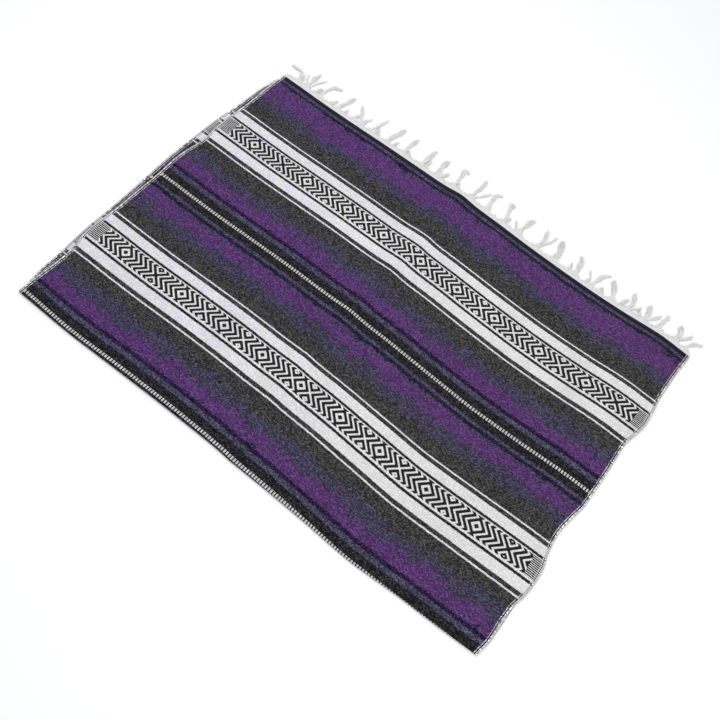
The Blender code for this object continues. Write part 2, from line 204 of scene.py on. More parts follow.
CREASES = (
    Crease(575, 930, 590, 560, 11, 0.9),
    Crease(592, 600, 560, 330, 9, 0.3),
    Crease(330, 20, 380, 260, 12, 0.7),
    Crease(455, -5, 430, 150, 8, -0.6),
    Crease(840, -10, 900, 190, 12, 0.8),
    Crease(955, 0, 1000, 120, 9, -0.6),
    Crease(1110, 15, 1080, 230, 11, 0.7),
    Crease(120, 30, 95, 190, 9, 0.5),
    Crease(-10, 505, 120, 560, 11, 0.8),
    Crease(-5, 640, 150, 610, 9, -0.5),
    Crease(1275, 330, 1130, 370, 12, 0.9),
    Crease(1275, 610, 1150, 560, 10, 0.7),
    Crease(1190, 935, 1160, 760, 11, 0.7),
    Crease(860, 935, 880, 800, 8, 0.5),
    Crease(250, 935, 262, 770, 9, 0.6),
    Crease(690, 420, 770, 640, 14, 0.5),
)

TASSELS = (
    Tassel(36, 2, -20, 49, 9, hook=-25),
    Tassel(60, -3, -16, 38, 3),
    Tassel(67, -1, 2, 62, 9, fork_tip=21, fork_reach=57),
    Tassel(113, -4, 18, 70, 9, hook=12),
    Tassel(169, 4, 17, 67, 9),
    Tassel(225, -2, 2, 26, 6, hook=8),
    Tassel(250, -7, -35, 56, 6, fork_tip=8, fork_reach=40),
    Tassel(279, 4, 15, 66, 5),
    Tassel(332, 2, 15, 71, 11),
    Tassel(389, -4, 3, 67, 11),
    Tassel(443, 2, 3, 72, 11),
    Tassel(496, -7, -4, 64, 13),
    Tassel(543, 3, -13, 88, 9, hook=22),
    Tassel(596, 6, 6, 78, 9, fork_tip=34, fork_reach=53),
    Tassel(650, -3, -4, 81, 9, hook=13),
    Tassel(705, -1, -25, 88, 9, hook=20),
    Tassel(753, -3, 12, 67, 11, fork_tip=-20, fork_reach=33),
    Tassel(807, 10, 2, 68, 9, fork_tip=26, fork_reach=65),
    Tassel(868, -1, -15, 68, 14),
    Tassel(925, 5, -12, 63, 13),
    Tassel(975, 3, 21, 68, 8, hook=5, fork_tip=-18, fork_reach=40),
    Tassel(1039, -2, -25, 55, 13),
    Tassel(1080, 9, -3, 57, 10, fork_tip=26, fork_reach=29),
    Tassel(1130, 4, -5, 50, 11, fork_tip=28, fork_reach=44),
    Tassel(1172, -2, 12, 63, 8, hook=-10),
    Tassel(1214, 10, 0, 50, 13, fork_tip=33, fork_reach=45),
    Tassel(1252, -2, 30, 40, 6),
)

# How the lower fringe's tassels lean, in turn, in mm
LOWER_LEANS = (-9.0, 6.0, 12.0, -5.0, 3.0, -12.0, 8.0)

# A crease along itself: its bow as a share of its length, how steeply it sets in, how far it is set in
# at its start, and how steeply it fades out
CREASE_BOW = 0.05
CREASE_RISE = 4.0
CREASE_START = 0.6
CREASE_FADE = 2.2

# The heights of the long and the short unevenness of a leaf that lies loose, in mm
LONG_SLACK = 0.16
SHORT_SLACK = 0.07


class Yarn(Enum):
    """The yarns of the wefts."""

    BLACK = "black"
    INK = "blue black of the ends"
    SLATE_LINE = "slate of the narrow line"
    INDIGO = "dark indigo"
    PURPLE = "purple"
    SLATE = "slate"
    CHARCOAL = "charcoal heather"
    WHITE = "white"


class YarnTone(NamedTuple):
    """A yarn's display colour, 0 to 255, and how far its fibres vary in brightness, 0 to 1."""

    red: float
    green: float
    blue: float
    heather: float


YARN_TONES = {
    Yarn.BLACK: YarnTone(30, 29, 31, 1.00),
    Yarn.INK: YarnTone(26, 22, 37, 1.00),
    Yarn.SLATE_LINE: YarnTone(69, 65, 88, 0.80),
    Yarn.INDIGO: YarnTone(28, 21, 48, 1.00),
    Yarn.PURPLE: YarnTone(83, 51, 104, 0.62),
    Yarn.SLATE: YarnTone(62, 58, 80, 0.75),
    Yarn.CHARCOAL: YarnTone(56, 56, 56, 0.95),
    Yarn.WHITE: YarnTone(227, 227, 226, 0.12),
}


class Stripe(NamedTuple):
    """A stripe of one yarn from its start to the next one's, in mm, and how soft its start is."""

    start: float
    yarn: Yarn
    soft: float = 1.0


# One repeat, from the middle of one dotted stripe to the middle of the next
REPEAT = 463.8 * MM
STRIPES = (
    Stripe(0.0, Yarn.BLACK),
    Stripe(25.5, Yarn.SLATE_LINE),
    Stripe(38.0, Yarn.INDIGO),
    Stripe(48.0, Yarn.PURPLE, 3.0),
    Stripe(84.0, Yarn.SLATE, 4.0),
    Stripe(115.5, Yarn.CHARCOAL, 4.0),
    Stripe(156.5, Yarn.WHITE),
    Stripe(160.3, Yarn.CHARCOAL),
    Stripe(171.2, Yarn.WHITE),
    Stripe(197.5, Yarn.BLACK),
    Stripe(204.5, Yarn.WHITE),
    Stripe(261.7, Yarn.BLACK),
    Stripe(268.3, Yarn.WHITE),
    Stripe(292.2, Yarn.CHARCOAL),
    Stripe(302.4, Yarn.WHITE),
    Stripe(305.8, Yarn.CHARCOAL),
    Stripe(352.3, Yarn.SLATE, 4.0),
    Stripe(382.3, Yarn.PURPLE, 4.0),
    Stripe(417.3, Yarn.SLATE, 3.0),
    Stripe(422.8, Yarn.INDIGO),
    Stripe(432.3, Yarn.SLATE_LINE),
    Stripe(440.3, Yarn.BLACK),
)

# The stripes at each end of the length, measured back from the hem
END_RUN = 70 * MM
END_STRIPES = (
    Stripe(0.0, Yarn.INK),
    Stripe(12.0, Yarn.SLATE_LINE),
    Stripe(20.6, Yarn.INDIGO),
    Stripe(28.2, Yarn.SLATE),
    Stripe(32.5, Yarn.PURPLE, 2.0),
)

# The diamonds of the patterned stripe: places in periods from the first one, and how many periods
# each one's rings are numbered ahead, so that they meet their neighbours' at the crossings
DIAMONDS = (
    (0.0, 0),
    (11.5, 1),
    (20.0, 2),
    (27.5, 2),
    (35.0, 6),
    (42.5, 2),
    (50.0, 4),
    (58.5, 3),
    (67.0, 2),
    (77.5, 2),
)

# Where two black arms cross on the middle line, in periods and with none ahead
DARK_CROSSINGS = ((6.25, 0), (72.25, 0))

# How loosely the edges of the stripes lie along the repeat: places in mm and shares
LOOSE_RUNS = (
    (0.0, 0.0),
    (47.5, 0.0),
    (56.0, 0.6),
    (75.0, 1.0),
    (122.0, 1.0),
    (140.0, 0.0),
    (325.0, 0.0),
    (345.0, 1.0),
    (400.0, 1.0),
    (415.0, 0.6),
    (424.0, 0.0),
)


class Curve:
    """A column of a short table, read along a smooth line that never overshoots."""

    def __init__(self, rows: Sequence[NamedTuple], key: str, column: str) -> None:
        """Works out the line's slope at each row.

        Args:
            rows: The table.
            key: The column that holds the places.
            column: The column that is read.
        """
        self.places = np.array([getattr(row, key) for row in rows]) * MM
        self.values = np.array([getattr(row, column) for row in rows]) * MM
        secants = np.diff(self.values) / np.diff(self.places)
        before, after = secants[:-1], secants[1:]
        turning = before * after <= 0.0
        total = np.where(turning, 1.0, before + after)
        inner = np.where(turning, 0.0, 2.0 * before * after / total)
        self.slopes = np.concatenate(([0.0], inner, [0.0]))

    def __call__(self, at: Array) -> Array:
        """Reads the line at places in metres."""
        at = np.clip(at, self.places[0], self.places[-1])
        i = np.clip(np.searchsorted(self.places, at) - 1, 0, len(self.places) - 2)
        span = self.places[i + 1] - self.places[i]
        x = (at - self.places[i]) / span
        rise = self.values[i] * (1 + 2 * x) * (1 - x) ** 2 + self.values[i + 1] * x * x * (3 - 2 * x)
        return rise + span * (self.slopes[i] * x * (1 - x) ** 2 - self.slopes[i + 1] * x * x * (1 - x))


def bell(offset: Array, half_width: Numbers) -> Array:
    """A smooth rise of height 1 that falls away on both sides."""
    return np.exp(-((offset / half_width) ** 2))


def lerp(start: Numbers, end: Numbers, share: Numbers) -> Numbers:
    """The value a share of the way from start to end."""
    return start + (end - start) * share


def ease(value: Array) -> Array:
    """Eases a share from 0 to 1, and holds it there outside that span."""
    share = np.clip(value, 0.0, 1.0)
    return share * share * (3 - 2 * share)


class ClothPoints(NamedTuple):
    """Points of the cloth's middle surface, its outward directions in v and z, and s there."""

    x: Array
    v: Array
    z: Array
    out_v: Array
    out_z: Array
    s: Array


@dataclass
class BlanketForm:
    """The folded blanket's shape, worked out from its woven size and the tables.

    Args:
        width: The woven width, from selvage to selvage.
        upper_hem: The upper leaf's cut end.
        hem_stagger: How far short of it the lower leaf ends.
        thickness: The cloth's thickness.
        leaf_gap: The least gap between the two leaves.
        fold_swell: How much higher than two flat leaves the fold stands.
        fold_run: How far back from the fold the upper leaf lies down again.
        fold_loose_share: The share of the loose rises that reaches the fold.
        lower_settle_share: The share of the lower leaf over which it steps out sideways.
        near_line: The v at which the near column of the crossings holds.
        turn_run: The distance from the fold over which their turn column fades out.
        dots_line: How far before v = 0 the middle of the dotted stripe lies.
        end_line: The distance s of each hem from the dotted stripe.
        slack: Extra length that the lower leaf takes up just behind the fold.
        slack_run: The length over which it does so.
        trough_share: How much of a loose rise a trough may take away.
        crease_run: The distance from the fold's line over which the creases set in.
    """

    width: float = 1270 * MM
    upper_hem: float = 935 * MM
    hem_stagger: float = 24 * MM
    thickness: float = 2.4 * MM
    leaf_gap: float = 0.4 * MM
    fold_swell: float = 2.4 * MM
    fold_run: float = 48 * MM
    fold_loose_share: float = 0.5
    lower_settle_share: float = 1 / 12
    near_line: float = 156 * MM
    turn_run: float = 110 * MM
    dots_line: float = 2.3 * MM
    end_line: float = 937.3 * MM
    slack: float = 4.5 * MM
    slack_run: float = 60 * MM
    trough_share: float = 0.6
    crease_run: float = 20 * MM
    curves: dict[str, Curve] = field(default_factory=dict)

    def __post_init__(self) -> None:
        """Reads the tables' columns."""
        for column in ("left", "right", "low_left", "low_right"):
            self.curves[column] = Curve(SIDES, "v", column)
        for column in ("fold", "near", "far", "turn"):
            self.curves[column] = Curve(CROSSINGS, "u", column)

    @property
    def lower_hem(self) -> float:
        """The lower leaf's cut end."""
        return self.upper_hem - self.hem_stagger

    def drift(self, u: Array, v: Array) -> Array:
        """How far a stripe has strayed towards the fringe at places of a leaf."""
        share = np.clip((v - self.near_line) / (self.upper_hem - self.near_line), 0.0, 1.0)
        at_turn = 1.0 - ease(v / self.turn_run)
        return lerp(self.curves["near"](u), self.curves["far"](u), share) + at_turn * self.curves["turn"](u)

    def hem_edge(self, u: Array, hem: float) -> Array:
        """The v of a leaf's cut end."""
        return hem + self.drift(u, self.upper_hem) * (hem / self.upper_hem)

    def loose_rise(self, u: Array, v: Array) -> Array:
        """How far the upper leaf stands off the lower one away from the fold."""
        share = np.clip(v / self.upper_hem, 0.0, 1.0)
        rise = np.zeros_like(u * v)
        for swell in SWELLS:
            height = lerp(swell.near_height, swell.far_height, share) * MM
            rise = rise + height * bell(u - swell.u * MM, swell.half_width * MM)
        for wave in WAVES:
            along = bell(u - wave.u * MM, wave.half_u * MM)
            rise = rise + wave.height * MM * along * bell(v - wave.v * MM, wave.half_v * MM)
        return rise

    def upper_rise(self, u: Array, v: Array) -> Array:
        """How far the upper leaf stands off the lower one, with the fold's own roundness."""
        loose = self.loose_rise(u, v)
        hold = bell(np.maximum(v - self.curves["fold"](u), 0.0), self.fold_run)
        return lerp(loose, self.fold_swell + self.fold_loose_share * loose, hold)

    def upper_middle(self, u: Array, v: Array) -> Array:
        """The height of the upper leaf's middle surface."""
        return 1.5 * self.thickness + self.leaf_gap + self.upper_rise(u, v)

    def fold_radius(self, u: Array) -> Array:
        """The fold's radius at the cloth's middle surface."""
        return (self.upper_middle(u, self.curves["fold"](u)) - self.thickness / 2) / 2

    def fold_start(self, u: Array) -> Array:
        """The v at which the leaves turn into the fold."""
        return self.curves["fold"](u) + self.fold_radius(u) + self.thickness / 2

    def plan_x(self, share: Array, v: Array, low: Numbers) -> Array:
        """The u of points between the selvages, of the upper leaf where low is 0, the lower where 1."""
        left = lerp(self.curves["left"](v), self.curves["low_left"](v), low)
        right = lerp(self.curves["right"](v), self.curves["low_right"](v), low)
        return lerp(left, right, share)

    def fold_s(self, u: Array) -> Array:
        """The distance s at which the upper leaf turns into the fold."""
        start = self.fold_start(u)
        return start - self.drift(u, start) + self.dots_line

    def upper(self, share: Array, along: Array) -> ClothPoints:
        """Points of the upper leaf; along is 0 at the fold and 1 at the hem."""
        u = share * self.width
        v = lerp(self.fold_start(u), self.hem_edge(u, self.upper_hem), along)
        crease = creases_at(u, v, CREASES)
        crease = np.maximum(crease, -self.trough_share * self.loose_rise(u, v)) * ease(v / self.crease_run)
        z = self.upper_middle(u, v) + crease + slack_at(u, v)
        s = v - self.drift(u, v) + self.dots_line
        flat = np.zeros_like(v)
        return ClothPoints(self.plan_x(share, v, 0.0), v, z, flat, flat + 1.0, s)

    def fold(self, share: Array, turn: Array) -> ClothPoints:
        """Points of the fold; turn is 0 at the upper leaf and 1 at the lower one."""
        u = share * self.width
        radius = self.fold_radius(u)
        angle = math.pi * turn
        out_v, out_z = -np.sin(angle), np.cos(angle)
        v = self.fold_start(u) + out_v * radius
        z = self.thickness / 2 + radius + out_z * radius
        return ClothPoints(self.plan_x(share, v, 0.0), v, z, out_v, out_z, self.fold_s(u) - angle * radius)

    def lower(self, share: Array, along: Array) -> ClothPoints:
        """Points of the lower leaf, which lies on the floor; along is 0 at the fold and 1 at the hem."""
        u = share * self.width
        start = self.fold_start(u)
        v = lerp(start, self.hem_edge(u, self.lower_hem), along)
        settle = np.minimum(along / self.lower_settle_share, 1.0)
        flat = np.zeros_like(v)
        fold_end = math.pi * self.fold_radius(u) - self.fold_s(u)
        taken = self.slack * ease((v - start) / self.slack_run)
        s = -(lerp(fold_end, self.end_line - self.slack, along) + taken)
        return ClothPoints(self.plan_x(share, v, settle), v, flat + self.thickness / 2, flat, flat - 1.0, s)


def creases_at(u: Array, v: Array, creases: Sequence[Crease]) -> Array:
    """The height that a list of creases adds at plan points.

    Args:
        u: Places along the fold.
        v: Places across it.
        creases: The creases.

    Returns:
        Heights in metres.
    """
    total = np.zeros_like(u * v)
    for crease in creases:
        run = np.array([crease.u_end - crease.u_start, crease.v_end - crease.v_start]) * MM
        length = float(np.hypot(*run))
        du, dv = u - crease.u_start * MM, v - crease.v_start * MM
        along = (du * run[0] + dv * run[1]) / length**2
        across = (dv * run[0] - du * run[1]) / length
        bow = CREASE_BOW * length * np.sin(math.pi * np.clip(along, 0.0, 1.0))
        fade = ease(along * CREASE_RISE + CREASE_START) * ease((1.0 - along) * CREASE_FADE)
        total = total + crease.height * MM * fade * bell(across - bow, crease.half_width * MM)
    return total


def slack_at(u: Array, v: Array) -> Array:
    """The small unevenness of a leaf that lies loose, in metres."""
    long_waves = np.sin(41.0 * u + 13.0 * v + 0.7) * np.sin(29.0 * v - 9.0 * u + 1.9)
    short_waves = np.sin(97.0 * u - 31.0 * v + 2.3) * np.sin(83.0 * v + 47.0 * u)
    return (LONG_SLACK * long_waves + SHORT_SLACK * short_waves) * MM


def add_object(name: str, data: bpy.types.ID) -> Object:
    """Makes data a named object of the scene."""
    obj = bpy.data.objects.new(name, data)
    bpy.context.scene.collection.objects.link(obj)
    return obj


def add_piece(name: str, mesh: Mesh, material: Material) -> Object:
    """Makes a mesh a named object of the scene, with one material."""
    mesh.materials.clear()
    mesh.materials.append(material)
    return add_object(name, mesh)


def build_slab(name: str, across: int, stations: int, shaper: Shaper) -> Mesh:
    """Bridges two grids into a closed slab and shapes it.

    Args:
        name: The mesh's name.
        across: Cells across the slab.
        stations: Cells along it.
        shaper: Takes shares across and along, and a side of 1 or -1, and returns places and UVs.

    Returns:
        The shaped mesh, with a UV map in metres.
    """
    bm = bmesh.new()
    rims = []
    for side in (1.0, -1.0):
        grid = bmesh.ops.create_grid(
            bm, x_segments=across, y_segments=stations, size=1.0, matrix=Matrix.Translation((0, 0, side))
        )
        rims += list({edge for vert in grid["verts"] for edge in vert.link_edges if edge.is_boundary})
    bmesh.ops.bridge_loops(bm, edges=rims)
    mesh = bpy.data.meshes.new(name)
    bm.to_mesh(mesh)
    bm.free()
    flat = np.zeros(len(mesh.vertices) * 3)
    mesh.vertices.foreach_get("co", flat)
    flat = flat.reshape(-1, 3)
    share = np.round((flat[:, 0] + 1) / 2 * across) / across
    along = np.round((flat[:, 1] + 1) / 2 * stations) / stations
    places, uvs = shaper(share, along, flat[:, 2])
    mesh.vertices.foreach_set("co", places.astype(np.float32).ravel())
    corners = np.zeros(len(mesh.loops), np.int32)
    mesh.loops.foreach_get("vertex_index", corners)
    layer = mesh.uv_layers.new(name="Weave")
    layer.uv.foreach_set("vector", uvs[corners].astype(np.float32).ravel())
    mesh.update()
    turn_outward(mesh)
    mesh.shade_smooth()
    return mesh


def turn_outward(mesh: Mesh) -> None:
    """Makes all the faces of a closed mesh point out."""
    bm = bmesh.new()
    bm.from_mesh(mesh)
    bmesh.ops.recalc_face_normals(bm, faces=bm.faces)
    bm.to_mesh(mesh)
    bm.free()


def mesh_of_lines(name: str, lines: Sequence[Line], radius: float, resolution: int) -> Mesh:
    """Gives lines a round section and closed ends.

    Args:
        name: The mesh's name.
        lines: Each line's points, and its sizes there as shares of the radius.
        radius: The radius.
        resolution: How finely the section is divided.

    Returns:
        One mesh of all the lines.
    """
    data = bpy.data.curves.new(name, "CURVE")
    data.dimensions = "3D"
    data.bevel_depth = radius
    data.bevel_resolution = resolution
    data.use_fill_caps = True
    for points, sizes in lines:
        ones = np.ones(len(points))
        spline = data.splines.new("POLY")
        spline.points.add(len(points) - 1)
        spline.points.foreach_set("co", np.column_stack([points, ones]).ravel())
        spline.points.foreach_set("radius", sizes * ones)
        spline.use_smooth = True
    drawn = bpy.data.objects.new("drawn", data)
    mesh = bpy.data.meshes.new_from_object(drawn)
    bpy.data.objects.remove(drawn)
    mesh.name = name
    mesh.shade_smooth()
    return mesh


@dataclass
class FoldedCloth:
    """The woven length as one closed thin wall, folded once.

    Args:
        form: The blanket's shape.
        shift: From plan coordinates to the frame.
        across: Cells from selvage to selvage.
        upper_stations: Cells along the upper leaf.
        fold_stations: Cells round the fold.
        lower_stations: Cells along the lower leaf.
        edge_taper: The wall's thickness at a selvage, as a share of the whole.
        edge_run: How far in from a selvage the wall has its whole thickness.
        edge_crowding: How much closer together the cells lie at the selvages.
        upper_crowding: The power by which the upper leaf's cells crowd towards the fold.
        lower_crowding: The same for the lower leaf.
    """

    form: BlanketForm
    shift: Vector
    across: int = 200
    upper_stations: int = 150
    fold_stations: int = 12
    lower_stations: int = 46
    edge_taper: float = 0.7
    edge_run: float = 8 * MM
    edge_crowding: float = 0.018
    upper_crowding: float = 1.08
    lower_crowding: float = 1.3

    @property
    def stations(self) -> int:
        """Cells along the whole length."""
        return self.upper_stations + self.fold_stations + self.lower_stations

    def points(self, share: Array, along: Array) -> ClothPoints:
        """Points of the middle surface; along runs from the upper hem round the fold to the lower one."""
        station = np.round(along * self.stations)
        fold_at, lower_at = self.upper_stations, self.upper_stations + self.fold_stations
        out = np.clip(1.0 - station / self.upper_stations, 0.0, 1.0) ** self.upper_crowding
        turn = np.clip((station - fold_at) / self.fold_stations, 0.0, 1.0)
        under = np.clip((station - lower_at) / self.lower_stations, 0.0, 1.0) ** self.lower_crowding
        leaves = zip(self.form.upper(share, out), self.form.fold(share, turn), self.form.lower(share, under))
        kinds = [station < fold_at, station < lower_at]
        return ClothPoints(*(np.select(kinds, [up, bend], down) for up, bend, down in leaves))

    def shape(self, share: Array, along: Array, side: Array) -> tuple[Array, Array]:
        """Places the slab's points and gives their weave coordinates."""
        share = share + self.edge_crowding * np.sin(math.tau * share) / math.tau
        points = self.points(share, along)
        from_edge = np.minimum(share, 1.0 - share) * self.form.width
        half = lerp(self.edge_taper, 1.0, ease(from_edge / self.edge_run)) * self.form.thickness / 2
        v = points.v + points.out_v * half * side
        z = points.z + points.out_z * half * side
        places = np.stack([points.x + self.shift.x, v + self.shift.y, z + self.shift.z], axis=1)
        return places, np.stack([share * self.form.width, points.s], axis=1)

    def build(self, material: Material) -> Object:
        """Builds the cloth with its material."""
        mesh = build_slab("cloth_weave", self.across, self.stations, self.shape)
        return add_piece("cloth_weave", mesh, material)


class Path(NamedTuple):
    """The middle line of a tassel, or of one part of it, from its root on the heading, in metres."""

    root: float
    middle: float
    tip: float
    reach: float
    width: float
    yarns: int
    hook: float = 0.0
    stations: int = 18


def upper_paths(yarns: int = 8, fork_yarns: int = 6, fork_step: float = 2 * MM) -> list[Path]:
    """The upper fringe's tassels, and the part of a forked one that goes its own way.

    Args:
        yarns: A tassel's yarns, besides one for each millimetre of its width.
        fork_yarns: The yarns of a fork's second part, half of which its first one lacks.
        fork_step: How far its first part's root steps aside. The second one's steps twice as far.

    Returns:
        The middle lines of all the tassels and parts.
    """
    paths = []
    for tassel in TASSELS:
        root, middle, tip, reach, width, hook = (value * MM for value in tassel[:6])
        whole = yarns + tassel.width
        if not tassel.fork_reach:
            paths.append(Path(root, middle, tip, reach, width, whole, hook))
            continue
        side = math.copysign(fork_step, tassel.fork_tip)
        paths.append(Path(root - side, middle, tip, reach, width, whole - fork_yarns // 2, hook))
        fork_tip, fork_reach = tassel.fork_tip * MM, tassel.fork_reach * MM
        fork_middle = 0.2 * fork_tip + 0.6 * middle
        paths.append(Path(root + 2 * side, fork_middle, fork_tip, fork_reach, 0.4 * width, fork_yarns))
    return paths


def lower_paths(width: float, count: int = 24, reach: float = 54 * MM, yarns: int = 10) -> list[Path]:
    """The lower fringe's tassels, which show only between the upper ones."""
    paths = []
    for n in range(count):
        lean = LOWER_LEANS[n % len(LOWER_LEANS)] * MM
        root = (n + 1) * width / (count + 1)
        shorter = 0.22 * (n % 4) / 3
        paths.append(Path(root, -0.3 * lean, lean, (1.0 - shorter) * reach, 8 * MM, yarns))
    return paths


@dataclass
class Fringe:
    """The warp ends past a hem: a narrow white heading, and tassels of loosely twisted yarns.

    Args:
        form: The blanket's shape.
        shift: From plan coordinates to the frame.
        name: What the pieces' names start with.
        low: Whether it belongs to the lower leaf.
        paths: The tassels' middle lines.
        seam: The gap between the hem and the heading.
        heading_width: The heading's width.
        heading_thickness: Its thickness.
        heading_cells: Cells along it.
        heading_rows: Cells across it.
        far_share: Its thickness at its far side, as a share of the whole.
        thin_start: The share of its width from which it gets thinner.
        low_lift: How far the lower heading stands off the floor.
        end_share: Its width at a corner, as a share of the whole.
        end_run: How far in from a corner it has its whole width.
        rib_height: The height of the ribs on it.
        rib_pitch: The distance between two of them.
        ripple: How far its far side strays in short waves.
        sway: How far it strays in long ones.
        bulge: How far its far side is drawn out at a tassel.
        bulge_run: Half the length of that bulge.
        yarn_pitch: The distance between two warp ends along the heading.
        yarn_radius: A yarn's radius.
        root_inside: How far inside the heading's far side they start.
        gather_run: How far out the warp ends come together.
        short_by: How much shorter than its tassel a yarn may be, as a share.
        long_by: How much longer it may be.
        hook_start: The share of a tassel's length at which a hook starts.
        hook_whole: The hook that would take up a tassel's whole length.
        floor_level: The height of a tassel's middle on the floor.
        over_level: Its height over the lower fringe.
        low_run: The length over which a lower tassel comes down to the floor.
        drop_line: The v at which an upper tassel starts to come down.
        corner_line: The same near a corner, where no lower tassel lies under it.
        corner: How far in from the selvages that holds.
        drop_run: The length over which it comes down.
        hairs: Fine loose fibres for each tassel.
        strays: Short warp ends that were left out of the tassels.
    """

    form: BlanketForm
    shift: Vector
    name: str
    low: bool
    paths: list[Path]
    seam: float = 0.3 * MM
    heading_width: float = 13 * MM
    heading_thickness: float = 2.0 * MM
    heading_cells: int = 700
    heading_rows: int = 8
    far_share: float = 0.62
    thin_start: float = 0.6
    low_lift: float = 0.2 * MM
    end_share: float = 0.45
    end_run: float = 10 * MM
    rib_height: float = 0.12 * MM
    rib_pitch: float = 3.4 * MM
    ripple: float = 0.9 * MM
    sway: float = 1.3 * MM
    bulge: float = 3 * MM
    bulge_run: float = 9 * MM
    yarn_pitch: float = 1.3 * MM
    yarn_radius: float = 0.85 * MM
    root_inside: float = 1.5 * MM
    gather_run: float = 12 * MM
    short_by: float = 0.15
    long_by: float = 0.04
    hook_start: float = 0.72
    hook_whole: float = 100 * MM
    floor_level: float = 2.0 * MM
    over_level: float = 3.9 * MM
    low_run: float = 27 * MM
    drop_line: float = 984 * MM
    corner_line: float = 958 * MM
    corner: float = 25 * MM
    drop_run: float = 30 * MM
    hairs: int = 10
    strays: int = 240

    def hem_line(self, u: Array) -> tuple[Array, Array, Array]:
        """Plan points of the leaf's cut end, with the height of its middle surface."""
        share = np.clip(u / self.form.width, 0.0, 1.0)
        leaf = self.form.lower if self.low else self.form.upper
        points = leaf(share, np.ones_like(share))
        return points.x, points.v, points.z

    def reach_out(self, u: Array) -> Array:
        """The heading's width at places along it."""
        from_end = np.clip(np.minimum(u, self.form.width - u) / self.end_run, 0.0, 1.0)
        stray = self.ripple * (np.sin(u / (7.1 * MM)) + np.sin(u / (2.3 * MM) + 1.0))
        stray = stray + self.sway * np.sin(u / (19 * MM) + 2.0 * np.sin(u / (53 * MM)))
        for path in self.paths:
            stray = stray + self.bulge * bell(u - path.root, self.bulge_run)
        return self.heading_width * lerp(self.end_share, 1.0, from_end) + stray * from_end

    def shape_heading(self, share: Array, along: Array, side: Array) -> tuple[Array, Array]:
        """Places the heading's points; along is 0 at the hem and 1 at its far side."""
        u = share * self.form.width
        x, v, z = self.hem_line(u)
        out = self.seam + along * self.reach_out(u)
        thinned = ease((along - self.thin_start) / (1.0 - self.thin_start))
        half = self.heading_thickness / 2 * lerp(1.0, self.far_share, thinned)
        ribs = self.rib_height * np.sin(u / self.rib_pitch * math.tau)
        lift = self.low_lift if self.low else 0.0
        z = z + lift + side * (half + np.where(side > 0, ribs, 0.0))
        places = np.stack([x + self.shift.x, v + out + self.shift.y, z], axis=1)
        return places, np.stack([u, out], axis=1)

    def build_heading(self, material: Material) -> Object:
        """Builds the heading with its material."""
        name = f"{self.name}_heading"
        mesh = build_slab(name, self.heading_cells, self.heading_rows, self.shape_heading)
        return add_piece(name, mesh, material)

    def level(self, v: Array, start: float, root: float) -> Array:
        """The height of a tassel's middle at a distance v, from its height at the heading."""
        hem = self.form.lower_hem if self.low else self.form.upper_hem
        beyond = v - hem - self.heading_width
        if self.low:
            return lerp(start, self.floor_level, ease(beyond / self.low_run))
        over = lerp(start, self.over_level, ease(beyond / self.heading_width))
        at_corner = min(root, self.form.width - root) < self.corner
        drop = self.corner_line if at_corner else self.drop_line
        return lerp(over, self.floor_level, ease((v - drop) / self.drop_run))

    def yarn(self, path: Path, slot: float, rng: random.Random, loose: float = 0.0) -> Array:
        """One yarn's points.

        Args:
            path: The tassel that it belongs to.
            slot: Its place beside the tassel's root, in yarn pitches.
            rng: The source of its unevenness.
            loose: How far it strays from the bundle, as a share of the bundle's width.

        Returns:
            An array of points.
        """
        share = np.linspace(0.0, 1.0, path.stations)
        u_start = min(max(path.root + slot * self.yarn_pitch, MM), self.form.width - MM)
        edge_room = 4 * MM
        u_root = min(max(path.root, edge_room), self.form.width - edge_room)
        at = np.array([u_start, u_root])
        x, v, z = self.hem_line(at)
        v = v + self.seam + self.reach_out(at) - self.root_inside
        # A hooked tassel's yarns end together, the others' ends are ragged
        ragged = 0.4 if path.hook else 1.0
        length = path.reach * (1.0 + ragged * rng.uniform(-self.short_by, self.long_by))
        bent = ease((share - self.hook_start) / (1.0 - self.hook_start))
        run = length * (share - abs(path.hook) / self.hook_whole * bent)
        gather = ease(share * length / (self.gather_run * rng.uniform(0.75, 1.2)))
        middle = 4 * share * (1 - share) * path.middle + share**2 * path.tip + bent * path.hook
        slant = np.arctan2(np.gradient(middle), np.gradient(run))
        turn = rng.uniform(0.0, math.tau)
        phase = turn + math.tau * rng.uniform(0.8, 1.5) * share
        # The bundle swells towards its end and tapers over the last fifth
        swell = 0.75 + 0.15 * np.sin(share * 9.0 + path.root / MM) + 0.25 * share
        swell = swell * (1.0 - 0.45 * ease((share - 0.78) / 0.22))
        if path.hook:
            swell = swell * (1.0 - 0.4 * bent)
        spread = path.width / 2 * rng.uniform(0.25, 1.0) * swell * (1.0 + loose * share)
        curl = 0.22 * path.width * share**2 * math.sin(turn * 3.0)
        off = gather * (spread * np.cos(phase) + curl)
        crimp = 0.35 * MM * np.sin(run / (1.5 * MM) + turn)
        up = gather * 0.34 * spread * np.sin(phase)
        line_x = lerp(x[0], x[1], gather) + middle + off * np.cos(slant) + crimp * gather
        line_v = lerp(v[0], v[1], gather) + run - off * np.sin(slant)
        line_z = self.level(line_v, float(z[1]), path.root) + up
        lowest = 1.3 * self.yarn_radius
        height = np.maximum(line_z, lowest)
        return np.stack([line_x + self.shift.x, line_v + self.shift.y, height], axis=1)

